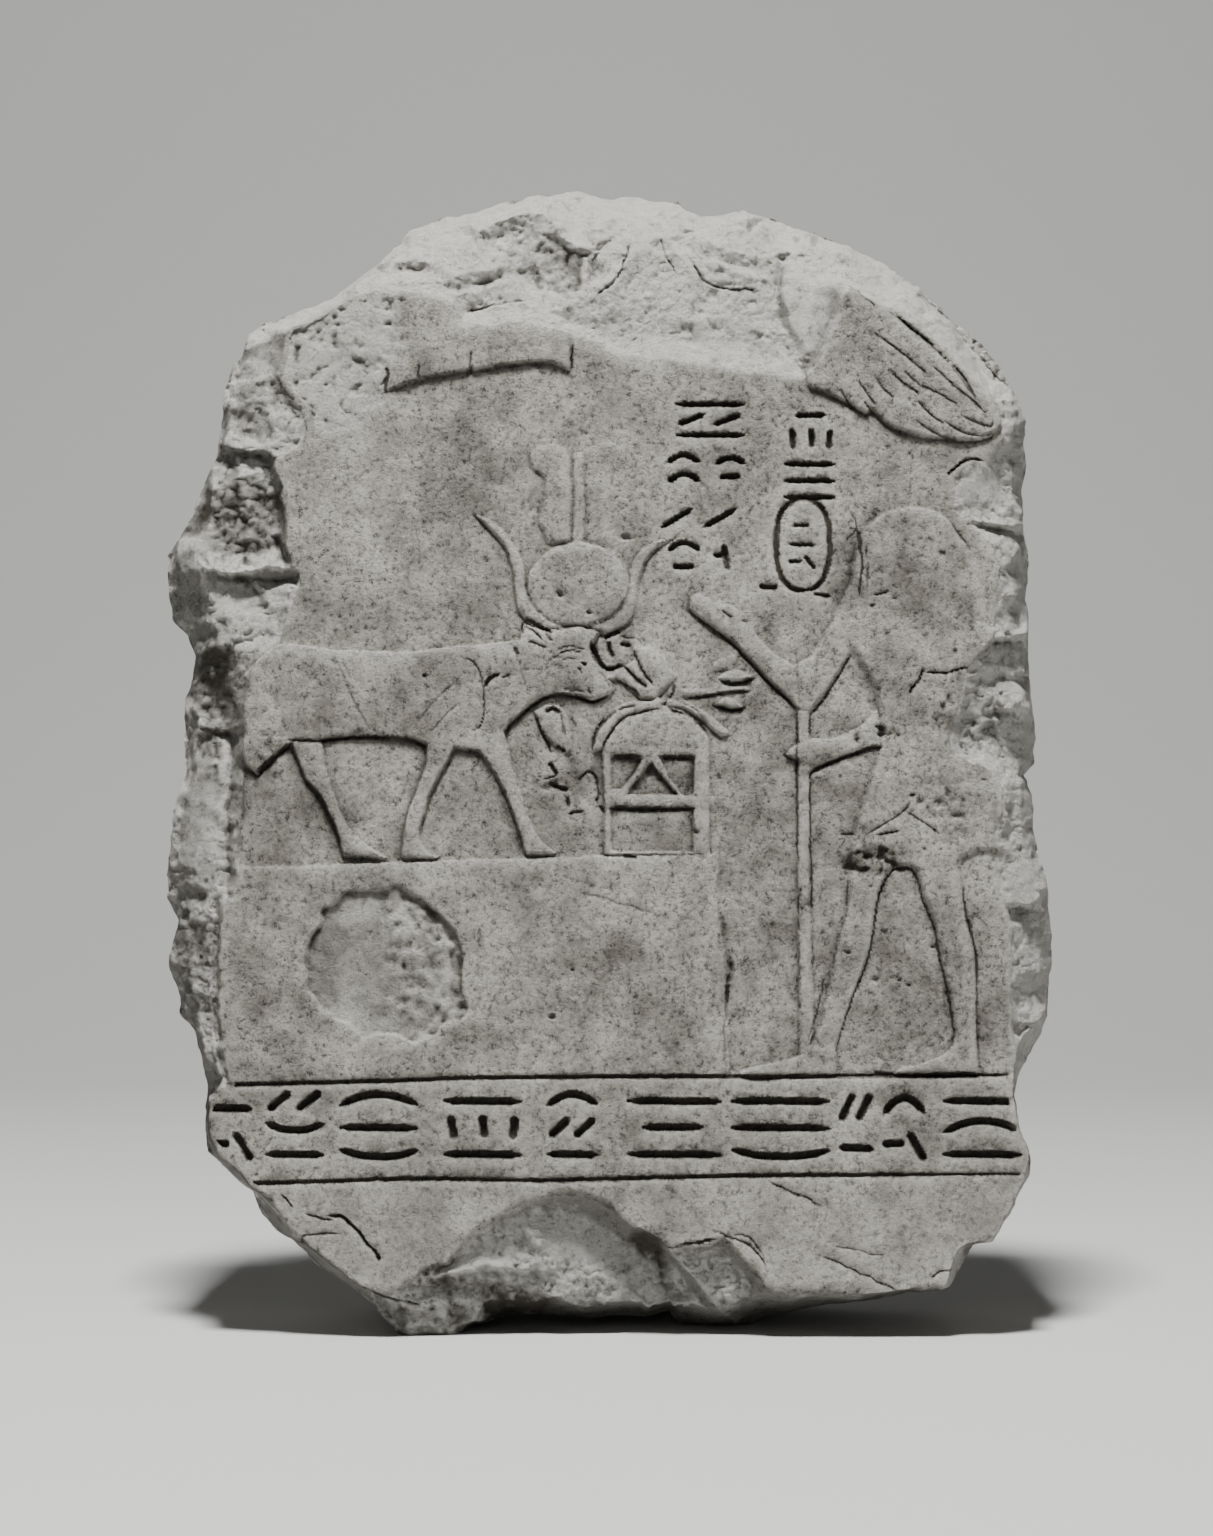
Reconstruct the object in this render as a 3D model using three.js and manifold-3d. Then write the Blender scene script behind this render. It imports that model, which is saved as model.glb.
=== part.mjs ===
// Carved stone stele: one block of pale limestone with a rounded top, broken all round.
// Its face carries a low raised relief of a horned cow on a block, an altar with lotus
// stems and a worshipper with a staff, under the wings of a winged disk.
// Millimetres. +X is to the right of the carved face, +Z is up, and the face looks to -Y.
import * as THREE from 'three';
import { mergeVertices } from 'three/addons/utils/BufferGeometryUtils.js';
import Module from 'manifold-3d';

const wasm = await Module();
wasm.setup();

// ---- Driving dimensions ----
const THICKNESS = 62;       // carved face to dressed back
const RELIEF = 1.1;         // how far the figures stand out from the cut-back ground
const PLATFORM = 0.8;       // how far the cow's block and the lower band stand out
const GROOVE = 1.4;         // depth of the ruled lines and the written strokes
const GROOVE_WIDTH = 1.5;
const CENTRE_HEIGHT = 140;  // middle of the stone, from which its outline is measured round
const BACK_INSET = 6;       // how far the worn edge of the back lies inside the outline
const STATIONS = 150;       // points round the outline
const GROUND = -THICKNESS / 2 + RELIEF;   // Y of the cut-back ground of the relief
const STONE_COLOUR = '#c8c5bc';

// Widest outline of the broken stone, clockwise from the right shoulder: X, height,
// and how far that point lies behind the face, because every side is a slanting break.
const OUTLINE = [
  [106, 233, 12], [100, 240, 12], [95, 244, 14], [93, 249, 16], [87, 258, 20], [80, 266, 24],
  [71, 273, 28], [62, 278, 30], [54, 281, 32], [42, 286, 34], [35, 288.5, 36], [24, 286.5, 36],
  [18, 290, 38], [8, 292.5, 40], [-2, 292, 40], [-7, 293.7, 40], [-25, 290.7, 38],
  [-41, 286, 34], [-52, 281.5, 30], [-56, 275, 28], [-67, 266.7, 24], [-74, 262, 22],
  [-88.5, 256, 18], [-93, 248, 16], [-97.5, 239, 12], [-98.5, 227, 14], [-102, 217, 16],
  [-106.5, 207, 18], [-112.5, 197, 20], [-112.5, 187, 20], [-108, 177, 20], [-106.3, 169.5, 20],
  [-108.3, 161, 20], [-108, 143, 18], [-110.5, 131, 12], [-112, 118.5, 12], [-109.5, 104.5, 12],
  [-111.5, 95, 12], [-108.5, 83, 12], [-103.5, 70, 14], [-102.5, 52.5, 14], [-98, 42.5, 12],
  [-91, 37, 10], [-87, 29.5, 10], [-79, 22, 10], [-65, 12, 8], [-57, 4, 8], [-51, -2, 7],
  [-39, -2, 8], [-31, 1.5, 16], [-22, 2.6, 22], [-4, 1.6, 24], [5, 2.5, 24], [13, 2.2, 24],
  [19, -1.5, 24], [35, -1.5, 24], [42, 2.3, 24], [61, 6, 22], [82, 9.5, 18], [88, 13, 16],
  [91.5, 21.5, 14], [97.5, 22.6, 14], [102, 29, 14], [107, 39.5, 14], [107, 44.5, 14],
  [103, 58, 14], [107, 70, 14], [111.5, 80, 14], [112.5, 95, 14], [111.7, 112.5, 14],
  [108.5, 121, 14], [108, 136, 14], [108.7, 147, 14], [107, 166, 14], [107, 192, 14],
  [105, 207, 13], [106, 220, 12],
];

// Edge of the carved face, where the breaks begin, in the same order: X, height.
const FACE_EDGE = [
  [100, 229], [98, 239], [93, 238], [85, 246.5], [75, 254.5], [66, 260], [60, 256], [56, 243],
  [50, 238.5], [42, 241], [30, 242], [15, 244], [0, 247.5], [-10, 252], [-22, 258], [-36, 260],
  [-50, 262], [-60, 260], [-68, 255], [-74, 248], [-80, 240], [-83, 231], [-85, 222],
  [-85, 205], [-84, 191], [-85, 178], [-88, 165], [-90, 152], [-94.5, 143], [-96, 130],
  [-96, 113], [-99, 104], [-99.5, 90], [-99, 75], [-97.5, 62], [-97, 54], [-93, 46],
  [-86, 38.5], [-78, 30], [-70, 23], [-62, 15], [-54, 10], [-46, 8.5], [-34, 12], [-14, 12],
  [10, 12], [30, 10.5], [45, 11.5], [60, 14], [72, 16], [82, 20], [90, 26], [96, 34],
  [98.5, 44], [97, 60], [98, 75], [98, 95], [96, 112], [94, 128], [92, 142], [92, 152],
  [95, 165], [97, 180], [97, 200], [98.5, 215],
];

// ---- Helpers that turn three.js shapes into solids and back ----
const toSolid = (geometry) => {
  const bare = geometry.clone();
  bare.deleteAttribute('normal');
  bare.deleteAttribute('uv');
  const merged = mergeVertices(bare, 1e-4);
  return new wasm.Manifold(new wasm.Mesh({
    numProp: 3,
    vertProperties: Float32Array.from(merged.attributes.position.array),
    triVerts: Uint32Array.from(merged.index.array),
  }));
};

const toGeometry = (solid) => {
  const mesh = solid.getMesh();
  const geometry = new THREE.BufferGeometry();
  geometry.setAttribute('position', new THREE.BufferAttribute(mesh.vertProperties, 3));
  geometry.setIndex(new THREE.BufferAttribute(mesh.triVerts, 1));
  return geometry;
};

// A shape drawn on the carved face, X to the right and height up, made into a slab that
// stands out from the ground by height and goes into the stone by depth.
const slabOnFace = (shape, height, depth, curveSegments = 2) => {
  const geometry = new THREE.ExtrudeGeometry(shape, {
    depth: height + depth, bevelEnabled: false, curveSegments,
  });
  geometry.rotateX(Math.PI / 2);
  geometry.translate(0, GROUND + depth, 0);
  return toSolid(geometry);
};

// A closed outline made of runs: each run is a smooth curve, and runs meet in corners.
const runShape = (runs) => {
  const shape = new THREE.Shape();
  const [first, ...rest] = runs;
  shape.moveTo(...first[0]);
  for (const run of [first.slice(1), ...rest]) {
    shape.splineThru(run.map(([x, z]) => new THREE.Vector2(x, z)));
  }
  shape.closePath();
  return shape;
};

const polygonShape = (points) => new THREE.Shape(points.map(([x, z]) => new THREE.Vector2(x, z)));

// ---- The broken block ----
// Distance from the middle of the stone to an outline in one direction, with the third
// value of the outline's points carried along.
const outlineAt = (points, angle) => {
  const dx = Math.cos(angle);
  const dz = Math.sin(angle);
  let best = { radius: 0, setback: 0 };
  points.forEach(([x0, z0, s0 = 0], i) => {
    const [x1, z1, s1 = 0] = points[(i + 1) % points.length];
    const ax = x0;
    const az = z0 - CENTRE_HEIGHT;
    const ex = x1 - x0;
    const ez = z1 - z0;
    const cross = dx * ez - dz * ex;
    if (Math.abs(cross) < 1e-9) return;
    const radius = (ax * ez - az * ex) / cross;
    const along = (ax * dz - az * dx) / cross;
    if (along >= 0 && along <= 1 && radius > best.radius) {
      best = { radius, setback: s0 + along * (s1 - s0) };
    }
  });
  return best;
};

// A drum whose rings are pulled out to the outline: face edge, slanting break, widest
// outline, and the worn edge of the back.
const makeBlock = () => {
  const levels = 5;
  const drum = new THREE.CylinderGeometry(1, 1, 1, STATIONS, levels);
  const place = drum.attributes.position;
  const faceY = GROUND;
  const backY = THICKNESS / 2;
  for (let i = 0; i < place.count; i++) {
    const x = place.getX(i);
    const z = place.getZ(i);
    const level = Math.round((place.getY(i) + 0.5) * levels);
    const share = Math.hypot(x, z);
    const angle = Math.atan2(z, x);
    const face = outlineAt(FACE_EDGE, angle);
    const wide = outlineAt(OUTLINE, angle);
    const lump = 1.2 * Math.sin(7 * angle + level) + 0.8 * Math.sin(17 * angle - 2 * level);
    const rings = [
      [face.radius, 0],
      [face.radius + 0.6 * (wide.radius - face.radius) + 0.5 * lump, 0.35 * wide.setback],
      [wide.radius, wide.setback],
      [wide.radius - 0.6, wide.setback + 0.55 * (THICKNESS - 5 - wide.setback)],
      [wide.radius - 1.2, THICKNESS - 5],
      [wide.radius - BACK_INSET, backY - faceY],
    ];
    const [radius, depth] = rings[level];
    place.setXYZ(i, share * radius * Math.cos(angle), faceY + depth,
      CENTRE_HEIGHT + share * radius * Math.sin(angle));
  }
  return toSolid(drum);
};

// ---- Scars: scoops and flakes struck out of the block ----
const scoop = ([x, y, z], [rx, ry, rz], [tiltX, tiltY, tiltZ]) => {
  const ball = new THREE.IcosahedronGeometry(1, 2);
  ball.scale(rx, ry, rz);
  ball.rotateX(tiltX);
  ball.rotateY(tiltY);
  ball.rotateZ(tiltZ);
  ball.translate(x, y, z);
  return toSolid(ball);
};

const cutScars = (block) => {
  const scars = [
    // the great shell-shaped flake out of the foot, between the two places it stands on
    scoop([-2, GROUND - 14, 6], [32, 28, 30], [0.3, 0, 0.1]),
    scoop([-36, GROUND - 6, 8], [20, 11, 15], [0.3, 0.2, 0]),
    scoop([30, GROUND - 6, 10], [13, 11, 15], [0.3, -0.2, 0]),
    // hollows in the broken crown
    scoop([-14, GROUND + 2, 279], [26, 17, 11], [0.7, 0.1, 0]),
    scoop([33, GROUND - 2, 267], [32, 17, 13], [0.75, 0, 0]),
    scoop([-62, GROUND - 3, 272], [24, 15, 12], [0.7, 0.5, 0]),
    // the long flake beside the cow's plumes, and the chip behind the worshipper's head
    scoop([-100, GROUND - 11, 206], [26, 16, 22], [0.1, 0, 0.2]),
    scoop([100, GROUND - 12, 212], [24, 14, 13], [0.15, 0, -0.2]),
    // hollows down the right edge and under the left flake
    scoop([105, GROUND - 5, 152], [20, 12, 9], [0.1, 0.2, 0]),
    scoop([108, GROUND - 2, 173], [13, 9, 5], [0.1, 0, 0]),
    scoop([-106, GROUND - 2, 168], [14, 11, 22], [0, 0, 0.2]),
  ];
  return scars.reduce((stone, scar) => stone.subtract(scar), block);
};

// ---- Raised relief ----
// The block that the cow stands on, and the written band below, are one low platform.
const platform = () => slabOnFace(polygonShape([
  [-120, 0], [120, 0], [120, 65.5], [30, 65.8], [29.5, 90], [28, 121.5], [-4, 121],
  [-40, 119.9], [-70, 118.8], [-120, 118],
]), PLATFORM, 2);

const cow = () => slabOnFace(runShape([
  [[-94, 162], [-86, 170], [-80, 173.6], [-69, 172.5], [-50, 172], [-36, 174], [-22, 175.2]],
  [[-21.5, 179], [-15, 177], [-8, 178.5], [-2, 177]],
  [[-4.5, 173], [-3.5, 169], [-1.5, 166], [1, 164.2]],
  [[1.4, 162], [-0.5, 161], [-3.5, 159.7]],
  [[-8, 161], [-14, 161], [-20, 158.6], [-26, 152.5]],
  [[-25.5, 145], [-21.5, 134], [-18.5, 127], [-13, 121]],
  [[-21, 120.5]],
  [[-22.5, 127], [-25, 134], [-28, 140.5], [-32, 147]],
  [[-38.5, 148]],
  [[-41, 143], [-44.5, 137], [-47, 129], [-43, 120]],
  [[-52, 120]],
  [[-51, 127], [-49, 136], [-46, 143], [-45.5, 148.8]],
  [[-52, 150.3], [-62, 150.8], [-72, 150]],
  [[-70.5, 143], [-67, 132], [-62, 125], [-55.5, 119.8]],
  [[-66, 119.8]],
  [[-68, 126.5], [-72, 135], [-76, 140], [-79.5, 147.5]],
  [[-88, 141], [-94, 150]],
]), RELIEF, 2);

const sunDisk = () => {
  const disk = new THREE.Shape();
  disk.absellipse(-7.5, 189, 12.5, 10.3, 0, Math.PI * 2);
  return slabOnFace(disk, RELIEF, 2, 14);
};

const leftHorn = () => slabOnFace(runShape([
  [[-31.5, 204], [-27.5, 201], [-24.5, 195], [-23.2, 187], [-21, 181], [-14, 177]],
  [[-8, 178.5]],
  [[-15, 181], [-19.5, 186], [-21, 193], [-25, 201], [-30, 205.5]],
]), RELIEF, 2);

const rightHorn = () => slabOnFace(runShape([
  [[15, 199.5], [11, 197], [7.6, 191], [6.8, 184], [4, 179], [-1, 176.5]],
  [[-6, 178.5]],
  [[0.5, 181], [4.5, 186], [5, 192], [8, 197.5], [14, 200.3]],
]), RELIEF, 2);

const leftPlume = () => slabOnFace(runShape([
  [[-9.3, 199], [-9.3, 210], [-9.6, 222.5]],
  [[-13, 224.2], [-17.5, 223.6], [-19.5, 221], [-18.3, 218], [-16, 216]],
  [[-16.2, 210], [-17.3, 206], [-16, 198.5]],
]), RELIEF, 2);

const rightPlume = () => slabOnFace(runShape([
  [[-5.6, 199], [-6, 210], [-5.8, 221.5]],
  [[-2, 224.2], [2, 224.4], [3.3, 221.5], [2, 218.6], [0.2, 216.5]],
  [[0.5, 209], [1.5, 197.5]],
]), RELIEF, 2);

const altar = () => {
  const body = new THREE.Shape();
  body.moveTo(-0.5, 121);
  body.lineTo(25.2, 121);
  body.lineTo(25.2, 150);
  body.quadraticCurveTo(22, 156.5, 12, 158.5);
  body.quadraticCurveTo(1, 157, -1.5, 148);
  body.closePath();
  const openings = [
    [[1.2, 122.2], [21.4, 122.2], [21.4, 132.4], [1.2, 132.4]],
    [[1.2, 138], [3, 138], [8.4, 145.2], [1.2, 145.2]],
    [[12.6, 145.2], [21.4, 145.2], [21.4, 136.5], [18.8, 136.5]],
    [[4.8, 136.5], [16, 136.5], [10.4, 143.6]],
  ];
  return openings.reduce((table, corners) => (
    table.subtract(slabOnFace(polygonShape(corners), RELIEF + 1, 0))
  ), slabOnFace(body, RELIEF, 2, 4));
};

// The stems of the flowers lie over the altar in two arcs and end in buds on the right.
const stems = () => [
  [[[-5, 146], [-2.5, 152], [3, 157.5], [10, 159.5], [16, 160]],
    [[10, 157.5], [4, 156], [0, 151.5], [-2.5, 146]]],
  [[[15, 160], [21, 158.8], [27, 155], [31.5, 150.5]],
    [[29, 151], [24, 155], [19, 157.6], [14, 158]]],
  [[[6, 173], [10, 173.3], [16, 169], [17, 165], [13, 162.6]],
    [[9.5, 165], [7.3, 169]]],
  [[[20, 163.6], [25, 163.6], [30, 163.4], [36, 162.4]], [[31, 161.7], [25, 160.8], [20, 161]]],
  [[[27, 164.8], [30, 167.2], [33, 167.2], [36.5, 165.4]], [[33, 164.4], [29, 164.3]]],
  [[[26.5, 159], [29, 160.8], [31, 160], [34, 157.8]], [[30, 158]]],
  [[[-18, 156], [-14, 158], [-11, 154], [-10, 147]], [[-13, 148], [-16, 151.5]]],
].map((runs) => slabOnFace(runShape(runs), RELIEF, 2));

const worshipper = () => slabOnFace(runShape([
  [[66, 205.5], [70, 207.6], [76, 208.8], [84, 206.5], [88, 201.5], [93.5, 191], [96, 180]],
  [[120, 178]],
  [[120, 126]],
  [[87.5, 116], [89.5, 107], [91.8, 95], [92.3, 79], [93, 66]],
  [[71.5, 66]],
  [[78, 69.2], [83, 71], [86, 74]],
  [[85.5, 81], [83.5, 93], [81.5, 104], [78, 114], [74, 118], [69.5, 114], [66.8, 104]],
  [[65.5, 96], [62, 86], [58.5, 78], [55.5, 66]],
  [[33, 65.6]],
  [[36, 68.5], [44, 70], [49, 72.5]],
  [[53, 80], [57, 99], [60, 112], [60, 126]],
  [[63, 127], [66, 137], [67, 148]],
  [[60, 147], [54, 144.5], [50.5, 143]],
  [[44.5, 148], [50, 150.4], [58, 151.5], [67, 157.5]],
  [[64, 166], [60.5, 171.5]],
  [[57, 165], [54, 161], [47.5, 157.5]],
  [[38, 168], [32, 174], [26, 178.5], [20, 182.5]],
  [[23, 186.3], [31, 181.5], [38, 174.5], [46, 168.5]],
  [[52, 172], [56, 181], [61, 190]],
  [[61.5, 198]],
]), RELIEF, 2);

const staff = () => slabOnFace(polygonShape([
  [47.6, 66], [50.4, 66], [50.2, 150], [50, 178], [47.6, 178], [47.6, 150],
]), RELIEF, 2);

const rightWing = () => slabOnFace(runShape([
  [[51, 239], [57, 236], [63, 232], [71, 228.5], [79, 225.8], [88, 225], [94, 225.6], [99, 228.6]],
  [[96, 234], [93, 237]],
  [[88, 243], [80, 250], [70, 258.4]],
  [[62, 268], [46, 268]],
]), RELIEF, 2);

const leftWing = () => slabOnFace(runShape([
  [[-57, 237], [-45, 240.5], [-30, 243], [-17, 244.5], [-9.5, 243]],
  [[-9.5, 262]],
  [[-57, 268]],
]), RELIEF, 2);

// ---- Ruled lines and written strokes ----
// A groove along a line of points on the face, with square ends.
const groove = (points, width = GROOVE_WIDTH, depth = GROOVE) => {
  const left = [];
  const right = [];
  points.forEach(([x, z], i) => {
    const [px, pz] = points[Math.max(i - 1, 0)];
    const [nx, nz] = points[Math.min(i + 1, points.length - 1)];
    const length = Math.hypot(nx - px, nz - pz);
    const ox = (-(nz - pz) / length) * (width / 2);
    const oz = ((nx - px) / length) * (width / 2);
    left.push([x + ox, z + oz]);
    right.unshift([x - ox, z - oz]);
  });
  return slabOnFace(polygonShape([...left, ...right]), RELIEF + 1, depth);
};

// Rows of plain strokes that stand for writing without being any. Each sign's place is
// filled with one to three bars, whose slope and length change from place to place.
const strokesIn = (x0, z0, x1, z1, seed) => {
  const width = x1 - x0;
  const height = z1 - z0;
  const bars = 2 + (seed % 2);
  return Array.from({ length: bars }, (_, i) => {
    const z = z0 + (height * (i + 0.5)) / bars;
    const shorten = ((seed + i) % 3) * 0.16 * width;
    const slope = (((seed * 3 + i) % 5) - 2) * 0.05 * height;
    return groove([[x0 + shorten / 2, z - slope], [x1 - shorten / 2, z + slope]]);
  });
};

const writtenBand = () => {
  const places = [[-93, -88], [-85, -71], [-67, -47], [-41, -22], [-15, -3], [6, 28], [32, 55],
    [58, 79], [83, 97]];
  return places.flatMap(([x0, x1], i) => strokesIn(x0, 44, x1, 61, i));
};

const writtenColumns = () => {
  const signHeight = 11;
  const first = Array.from({ length: 4 }, (_, i) => strokesIn(18, 225 - i * signHeight,
    34, 235 - i * signHeight, i));
  const second = Array.from({ length: 2 }, (_, i) => strokesIn(44, 222 - i * signHeight,
    56, 232 - i * signHeight, i + 1));
  return [...first, ...second].flat();
};

// The oval ring round the last signs of the second column.
const ovalRing = () => {
  const turns = 28;
  const ring = Array.from({ length: turns + 1 }, (_, i) => {
    const angle = Math.PI / 2 + (2 * Math.PI * i) / turns;
    return [48.7 + 6.8 * Math.cos(angle), 198.5 + 11.2 * Math.sin(angle)];
  });
  const halves = [ring.slice(0, turns / 2 + 1), ring.slice(turns / 2)];
  return [...halves.map((half) => groove(half)), ...strokesIn(45.5, 192, 52, 206, 1)];
};

const ruledLines = () => [
  groove([[-110, 63.6], [-62, 64.5], [-30, 65.4], [10, 65.8], [110, 66]]),
  groove([[-110, 38.8], [-50, 40.2], [0, 40.2], [110, 41.3]]),
];

// Lines between the feathers of the right wing.
const featherLines = () => [
  [[58, 238], [62, 232.5]], [[62.5, 240], [67, 234]], [[67, 240.5], [71.5, 235.5]],
  [[70.5, 242], [78, 236.5], [83, 231]], [[74, 242.5], [83, 236.5], [88, 233.5]],
  [[81, 243.5], [86, 239], [94, 232]], [[66, 250], [76, 243]], [[64, 256], [80, 246]],
].map((line) => groove(line, 1, 0.4));

// ---- Assembly ----
const facePrism = () => slabOnFace(polygonShape(Array.from({ length: STATIONS }, (_, i) => {
  const angle = (2 * Math.PI * i) / STATIONS;
  const { radius } = outlineAt(FACE_EDGE, angle);
  return [(radius - 0.4) * Math.cos(angle), CENTRE_HEIGHT + (radius - 0.4) * Math.sin(angle)];
})), 5, 5);

const makeStele = () => {
  const raised = [platform(), cow(), sunDisk(), leftHorn(), rightHorn(), leftPlume(),
    rightPlume(), altar(), ...stems(), worshipper(), staff(), rightWing(), leftWing()];
  const carving = raised.reduce((all, one) => all.add(one)).intersect(facePrism());
  const cuts = [...writtenBand(), ...writtenColumns(), ...ovalRing(), ...ruledLines(),
    ...featherLines()].reduce((all, one) => all.add(one));
  const stone = cutScars(makeBlock().add(carving)).subtract(cuts);
  const floor = new THREE.BoxGeometry(400, 200, 20);
  floor.translate(0, 0, -10);
  const standing = stone.subtract(toSolid(floor));
  return toGeometry(standing);
};

// The origin is the middle of the underside.
const geometry = makeStele();
geometry.computeBoundingBox();
const middle = geometry.boundingBox.getCenter(new THREE.Vector3());
geometry.translate(-middle.x, -middle.y, 0);

const limestone = new THREE.MeshStandardMaterial({
  color: STONE_COLOUR, roughness: 0.92, metalness: 0,
});
const stele = new THREE.Mesh(geometry, limestone);
stele.name = 'stele';

const group = new THREE.Group();
group.add(stele);

export default group;
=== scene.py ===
import math

import bpy
import numpy as np
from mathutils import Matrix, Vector
from mathutils.geometry import delaunay_2d_cdt


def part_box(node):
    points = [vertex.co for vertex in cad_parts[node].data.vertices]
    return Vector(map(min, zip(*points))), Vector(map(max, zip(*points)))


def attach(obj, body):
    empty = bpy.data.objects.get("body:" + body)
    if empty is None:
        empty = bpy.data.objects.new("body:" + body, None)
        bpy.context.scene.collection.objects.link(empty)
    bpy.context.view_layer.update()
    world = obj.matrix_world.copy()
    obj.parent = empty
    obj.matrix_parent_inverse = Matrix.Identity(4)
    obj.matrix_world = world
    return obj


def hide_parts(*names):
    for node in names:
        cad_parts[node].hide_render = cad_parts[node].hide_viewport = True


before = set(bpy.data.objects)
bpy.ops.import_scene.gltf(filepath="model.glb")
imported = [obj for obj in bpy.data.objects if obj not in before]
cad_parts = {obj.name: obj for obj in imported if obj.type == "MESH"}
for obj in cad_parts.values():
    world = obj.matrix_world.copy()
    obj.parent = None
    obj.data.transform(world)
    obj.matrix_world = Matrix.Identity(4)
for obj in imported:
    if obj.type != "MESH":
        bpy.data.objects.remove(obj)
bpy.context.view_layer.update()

low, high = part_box("stele")

# ---- The block ----
# One block of fine pale limestone with a rounded top, broken away all round, so that only
# the carved face and the dressed back are flat. It is drawn in millimetres: X, height above
# the floor, and how far behind the face the broken side is widest.
HEIGHT = 293.5
MM = (high.z - low.z) / HEIGHT
FRONT = low.y / MM
BACK = high.y / MM
RELIEF = 1.1
GROUND = FRONT + RELIEF
MIDDLE = 140

LEFT_SIDE = [
    (-87, 29.5, 10), (-91, 37, 10), (-98.5, 42.5, 12), (-101.5, 46, 13), (-102.5, 52.5, 14),
    (-102, 62, 14), (-103.5, 70, 14), (-105, 76, 13), (-108.5, 81, 12), (-108.3, 85, 12),
    (-110.5, 90, 12), (-111.5, 95, 12), (-110.2, 100, 12), (-109.2, 104.5, 12), (-112, 110, 12),
    (-112.3, 116, 12), (-111.3, 122, 12), (-110.5, 131, 12), (-109, 137, 14), (-107.5, 141, 17),
    (-108, 145, 18), (-108.3, 161, 20), (-106.3, 166, 20), (-105.5, 171, 20), (-108, 177, 20),
    (-111.8, 181, 20), (-112.5, 187, 20), (-112.5, 197, 20), (-109.5, 202, 19),
    (-106.5, 207, 18), (-104.5, 212, 17), (-102, 217, 16), (-100, 222, 15), (-98.7, 228, 14),
    (-98, 234, 13), (-97.3, 239, 12), (-94.5, 243, 14), (-93, 248, 16),
]
TOP_SIDE = [
    (-93, 248, 16), (-91.5, 253.5, 18), (-88.7, 256, 18), (-81.5, 258.5, 20), (-73.7, 262, 22),
    (-69.5, 264, 23), (-66.7, 266.7, 24), (-62.5, 269.5, 25), (-57.5, 274.5, 27), (-56, 275.5, 28),
    (-53.5, 278.5, 29), (-52.3, 281.5, 30), (-46.5, 284, 33), (-41.5, 286.2, 34),
    (-35, 287.7, 36), (-25, 290.7, 38), (-15.5, 292.5, 39), (-7.3, 293.6, 40), (-2.1, 292.1, 40),
    (2, 291.6, 40), (8.4, 292.3, 40), (11, 291, 39), (18.3, 290.2, 38), (21.3, 287.3, 37),
    (24, 286.4, 36), (30.2, 287, 36), (35.4, 288.4, 36), (38.5, 286.2, 35), (42.6, 285.8, 34),
    (49, 282.7, 33), (54.4, 281.3, 32), (60, 278, 30), (62, 277.8, 30), (66.7, 275, 29),
    (71.2, 272.9, 28), (75.3, 269.5, 26), (80.1, 266.1, 24), (82.5, 261.5, 22), (87, 258.3, 20),
    (90.5, 253.6, 18), (93, 248.8, 16), (95, 244, 14),
]
RIGHT_SIDE = [
    (97.5, 22.6, 14), (99.3, 26, 14), (102.3, 29.2, 14), (104.2, 35, 14), (107, 39.5, 14),
    (107.2, 44.5, 14), (104.5, 50, 14), (103.6, 55.5, 14), (103, 60.5, 14), (104.3, 65, 14),
    (107, 70, 14), (110, 75, 14), (111.5, 80, 14), (112, 88, 14), (112.6, 95, 14),
    (112.2, 104, 14), (111.7, 112.5, 14), (110.5, 117, 14), (109, 120.6, 14), (108.2, 128, 14),
    (107.7, 136, 14), (105.5, 141, 14), (108.2, 144, 14), (108.4, 153, 14), (107.7, 160, 14),
    (106.8, 166, 14), (106.6, 176, 14), (107.1, 181, 14), (106.2, 186, 14), (106.9, 192, 14),
    (106.3, 199, 14), (105.2, 205, 13), (105, 214, 13), (106, 220, 12), (105.4, 226, 12),
    (106.2, 231, 12), (104.5, 235, 12), (100.3, 240.5, 12), (96.5, 242.3, 13), (95, 244, 14),
]
BOTTOM_SIDE = [
    (-87, 29.5, 10), (-85.5, 27.5, 10), (-79.2, 22.3, 10), (-72, 16.5, 9), (-65.1, 12.1, 8),
    (-58.5, 7, 8), (-57.5, 4.7, 8), (-51, -1.5, 7), (-39, -1.5, 8), (-35.5, 1.6, 12),
    (-30.5, 2, 16), (-25.5, 3.6, 20), (-13, 2.6, 23), (-4.1, 1.6, 24), (0, 2.4, 24),
    (5.1, 2.5, 24), (10, 1.9, 24), (15.5, 3.3, 24), (19, -1.2, 24), (35, -1.2, 24),
    (40, 2.1, 24), (50, 4.3, 23), (61.5, 6, 22), (73, 8, 19), (81.6, 9.5, 18), (86.5, 10.5, 16),
    (88, 13, 16), (88.7, 16.3, 15), (90, 20, 14), (91.5, 21.6, 14), (97.5, 22.6, 14),
]
# Lines on the front were marked out from 900 mm before the face, level with its middle, so a
# point seen on one lies a little further out the deeper it is. Each has X, height and depth.
# Their heights were counted with the eye at 142 mm, and stand 0.95 mm higher on the stone.
SIGHTING = 900
EYE_X = -0.5
EYE_Z = 142.95
SEEN_EYE_Z = 142
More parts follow.
